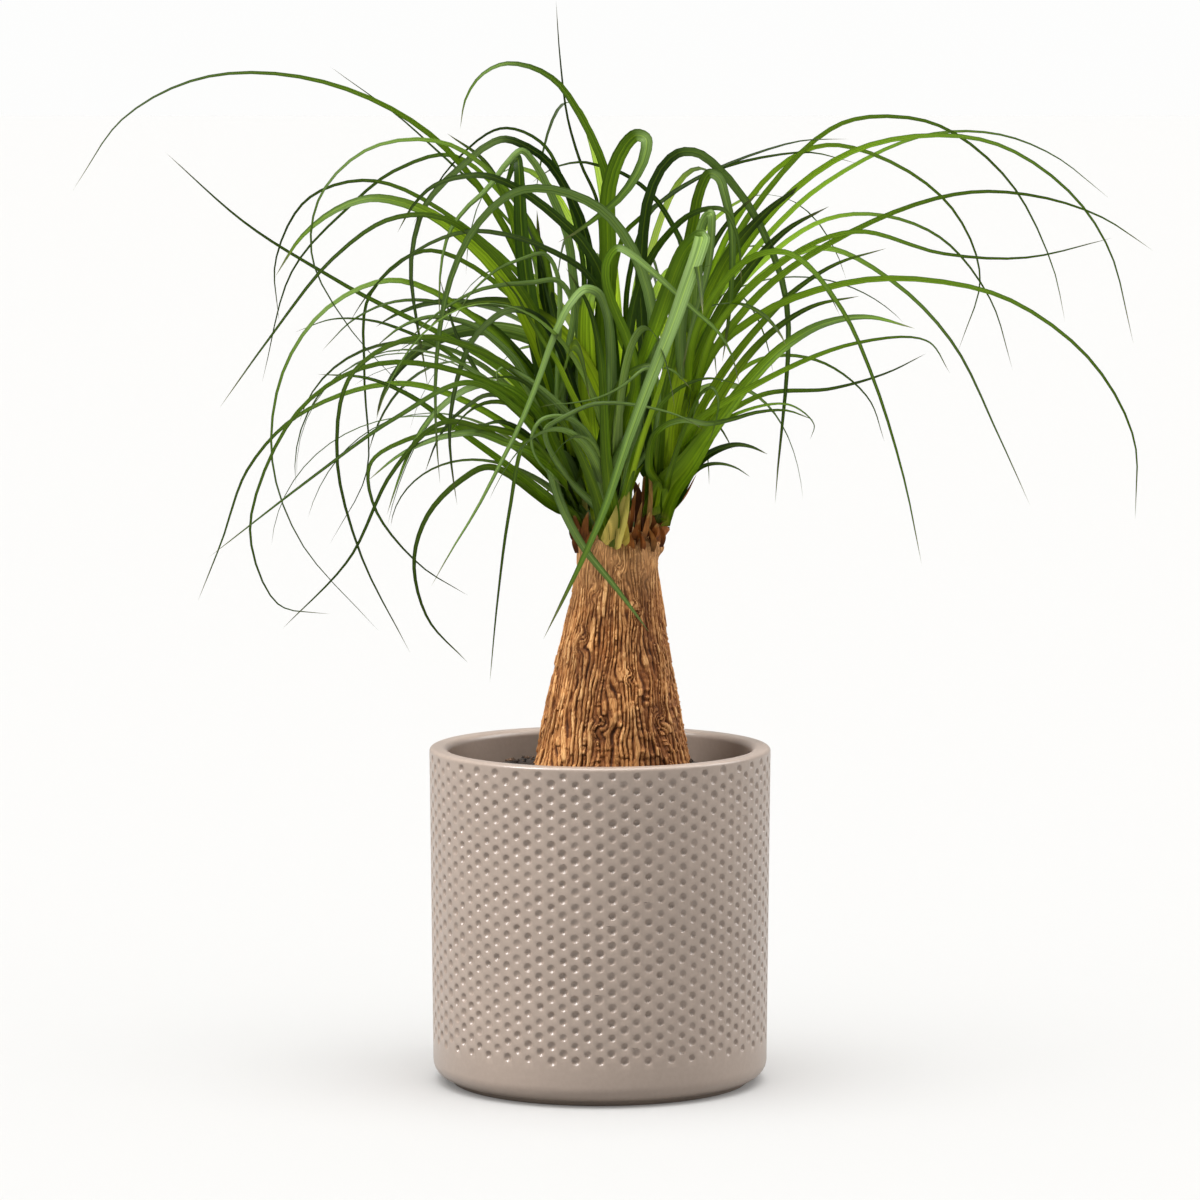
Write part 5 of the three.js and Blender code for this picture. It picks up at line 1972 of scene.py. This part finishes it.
class Husks:
    """The dry papery leaf bases that stand round the feet of the heads and between them."""

    SCALES = tuple(
        Scale(*row)
        for row in (
            ((17, -2, 284), (17, -5, 320), 17, 0, 0.0), ((15, -17.5, 279), (14.5, -18, 293), 7, 10, 0.5),
            ((21, -16, 280), (20, -17.5, 294), 6.5, -15, 0.35),
            ((27, -12.5, 282), (25, -15, 295), 7, 20, 0.6),
            ((31.5, -8, 284), (31, -11, 296), 6, -10, 0.3),
            ((-6, -15.5, 280), (-4, -16.5, 293), 7, -10, 0.45),
            ((-11.5, -10.5, 281), (-11, -13, 294), 6.5, 15, 0.25), ((23, -1, 284), (24, -4, 318), 15, 0, 0.0),
            ((15, -10, 284), (19, -12, 314), 7, 15, 0.45), ((19, -11, 284), (22, -13, 308), 6, -20, 0.7),
            ((22, -9, 286), (23, -12, 323), 7, 30, 0.35), ((23.5, -12, 292), (25, -18, 334), 6, -35, 1.0),
            ((13, -13, 284), (16, -17, 304), 6, -25, 0.6), ((17, -14, 284), (21, -17, 299), 8, 20, 0.4),
            ((22, -13, 284), (26, -16, 303), 8, -10, 0.55), ((26, -10, 285), (30, -15, 297), 9, 10, 0.45),
            ((35, -7, 299), (50.5, -9, 322), 3.0, 0, 0.3), ((-5, -10, 284), (-6, -13, 303), 8, 10, 0.5),
            ((-9, -7, 284), (-14, -9, 302), 8, 0, 0.3), ((-14, -8, 292), (-22, -11, 315), 6, 10, 0.55),
            ((-1, -12, 284), (-2, -14, 298), 7, -15, 0.65), ((-9, -3, 284), (-13, -4, 300), 8, 0, 0.1),
            ((0, 2, 284), (-2, 0, 312), 18, 0, 0.0), ((16, 14, 284), (21, 17, 316), 10, 0, 0.4),
            ((3, 17, 284), (-3, 21, 306), 10, 25, 0.6), ((25, 10, 286), (33, 15, 314), 9, -20, 0.5),
            ((-7, 11, 285), (-15, 15, 308), 10, 0, 0.45), ((10, 19, 284), (12, 25, 300), 11, 0, 0.6),
            ((30, 8, 286), (38, 10, 304), 10, 0, 0.35),
        )
    )
    COLLARED = ("head_left", "head_right", "head_back")
    COLLAR = ((0, -16), (4.4, -15), (5.8, -9), (6.8, -4), (7.3, 0), (6.9, 1), (6.0, -3), (0, -4))
    COLLAR_LOOK = ((0.1, 0.8), 0.4)  # the shares of a husk's length that it looks like, and its tone
    RAGGED = 4 * MM

    def __init__(self, blank: LeafBlank, seed: int = 19) -> None:
        """Keeps the blank that the husks are bent from, and the seed of their differences."""
        self.blank = blank
        self.chance = random.Random(seed)

    def bent(self, scale: Scale) -> Mesh:
        """Bends one scale, bowed outwards and a little cupped.

        Args:
            scale: The scale.

        Returns:
            The scale's own mesh.
        """
        foot, tip = Vector(scale.foot) * MM, Vector(scale.tip) * MM
        away = tip - Vector(Trunk.top)
        away.z = 0.0
        middle = foot.lerp(tip, 0.5) + away.normalized() * self.chance.uniform(0.5, 2.5) * MM
        path = through([foot, middle, tip], self.blank.along)
        twist = math.radians(self.chance.uniform(-40, 40))
        width, roll = scale.width * MM, math.radians(scale.turn)
        return self.blank.bent(Blade(path, width, roll, twist, 0.0, scale.tone, clasp=1.0, fullness=1.0))

    def collar(self, plan: HeadPlan) -> Mesh:
        """Wraps a ragged collar round the foot of a head.

        Args:
            plan: The head's plan.

        Returns:
            The collar's mesh.
        """
        mesh = shell("collar", self.COLLAR)
        LeafBlank.dress_shell(mesh, *self.COLLAR_LOOK)
        for vertex in mesh.vertices:
            way = Vector((*vertex.co.xy.normalized() * 1.7, plan.heading))
            vertex.co.z += self.RAGGED * noise.noise(way) * smoothstep(vertex.co.z, -6 * MM, 0.0)
        mesh.transform(plan.frame())
        return mesh

    def build(self, finish: Material) -> None:
        """Builds all husks as one piece.

        Args:
            finish: The husks' finish.
        """
        collars = [self.collar(plan) for plan in HEAD_PLANS if plan.name in self.COLLARED]
        scales = [self.bent(scale) for scale in self.SCALES]
        finished(gathered("dry_husks", [*collars, *scales]), finish, Slot.BARK, 48)


# The stage


@dataclass(frozen=True)
class Sun:
    """A soft light that comes from far off."""

    name: str
    way: float  # where it stands, in degrees from +X
    steep: float  # how high it stands, in degrees
    strength: float  # in watts per square metre
    spread: float  # its width in degrees, which softens its shadows

    def hang(self, lit: Collection) -> Object:
        """Adds the light.

        Args:
            lit: What it lights or spares.

        Returns:
            The light.
        """
        data = bpy.data.lights.new(self.name, "SUN")
        data.energy = self.strength
        data.angle = math.radians(self.spread)
        light = linked(self.name, data)
        turn, rise = math.radians(self.way), math.radians(self.steep)
        towards = Vector((math.cos(turn) * math.cos(rise), math.sin(turn) * math.cos(rise), math.sin(rise)))
        light.rotation_euler = towards.to_track_quat("Z", "Y").to_euler()
        light.light_linking.receiver_collection = lit
        return light


@dataclass(frozen=True)
class Stage:
    """The pale floor, the soft light and the camera."""

    aim: Place = (0.0, 0.0, 0.2551)
    lens: float = 171.9
    sensor: float = 36.0
    floor_size: float = 60.0
    sky: float = 0.38
    backdrop: float = 0.985
    white: Colour = (1.0, 1.0, 0.994)
    plant_lights: tuple[Sun, ...] = (
        Sun("key light", -156, 50, 3.85, 24),
        Sun("fill light", 8, 35, 1.8, 40),
        Sun("overhead light", -90, 88, 3.6, 50),
    )
    floor_lights: tuple[Sun, ...] = (
        Sun("floor light", 178, 80, 0.8, 55),
        Sun("floor light", 2, 80, 0.8, 55),
        Sun("floor light", -148, 58, 0.63, 55),
        Sun("floor light", -32, 58, 0.63, 55),
    )

    def set_floor(self) -> Object:
        """Lays the floor.

        Returns:
            The floor.
        """
        floor = added("floor", bpy.ops.mesh.primitive_plane_add, size=self.floor_size)
        floor.data.materials.append(TableFinish().make())
        floor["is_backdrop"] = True
        return floor

    @staticmethod
    def linking(name: str, piece: Object, state: str) -> Collection:
        """Names the one thing that a light reaches, or the one that it spares.

        Args:
            name: The new collection's name.
            piece: The thing.
            state: INCLUDE or EXCLUDE.

        Returns:
            The collection for the lights.
        """
        linking = bpy.data.collections.new(name)
        linking.objects.link(piece)
        linking.collection_objects[0].light_linking.link_state = state
        return linking

    def set_sky(self) -> None:
        """Surrounds the stage with even white light, before a backdrop that the camera sees brighter."""
        world = bpy.data.worlds.new("white studio")
        world.use_nodes = True
        bench = Bench(world.node_tree)
        seen_directly = bench.add("LightPath").outputs["Is Camera Ray"]
        strength = bench.sum("MULTIPLY_ADD", seen_directly, self.backdrop - self.sky, self.sky)
        bench.fill(world.node_tree.nodes["Background"], {"Strength": strength, "Color": opaque(self.white)})
        bpy.context.scene.world = world

    def set_camera(self) -> None:
        """Stands the camera where the photograph was taken from."""
        data = bpy.data.cameras.new("camera")
        data.lens, data.sensor_width = self.lens, self.sensor
        camera = linked("camera", data)
        camera.location = EYE
        look = Vector(self.aim) - Vector(EYE)
        camera.rotation_euler = look.to_track_quat("-Z", "Y").to_euler()
        bpy.context.scene.camera = camera

    def light_floor(self, floor: Object, pot: Object) -> None:
        """Lights the floor from both sides by lights of its own, past which only the pot throws a shadow.

        Args:
            floor: The floor.
            pot: The pot.
        """
        table = self.linking("the floor alone", floor, "INCLUDE")
        shading = self.linking("the pot alone", pot, "INCLUDE")
        for sun in self.floor_lights:
            sun.hang(table).light_linking.blocker_collection = shading

    def build(self) -> Object:
        """Sets the stage, all but the floor's own lights.

        Returns:
            The floor.
        """
        floor = self.set_floor()
        self.set_sky()
        plant = self.linking("all but the floor", floor, "EXCLUDE")
        for sun in self.plant_lights:
            sun.hang(plant)
        self.set_camera()
        bpy.context.scene.view_settings.view_transform = "Standard"
        return floor


def write_sizes(cad_box: Sequence[Vector], visual_box: Sequence[Vector]) -> None:
    """Lists the corners of both boxes, and keeps nothing.

    Args:
        cad_box: The CAD part's box, as its two corners.
        visual_box: The dressed part's box, as its two corners.
    """
    boxes = {"cad": cad_box, "visual": visual_box}
    {name: [list(corner) for corner in box] for name, box in boxes.items()}


def main() -> None:
    """Builds the dressed plant, piece by piece."""
    logging.basicConfig(level=logging.INFO, format="%(name)s: %(message)s")
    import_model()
    cad_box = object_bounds()
    stage = Stage()
    floor = stage.build()
    Pot().build(StonewareFinish().make())
    stage.light_floor(floor, bpy.data.objects["dimpled_pot"])
    Soil().build(EarthFinish().make())
    Trunk().build(BarkFinish().make())
    broad, slight = LeafBlank(across=4, along=34), LeafBlank(across=2, along=24)
    Husks(slight).build(HuskFinish().make())
    leaf_finish = LeafFinish().make()
    for plan in HEAD_PLANS:
        LeafHead(plan, broad, slight).build(leaf_finish)
    write_sizes(cad_box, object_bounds())


if __name__ == "__main__":
    main()
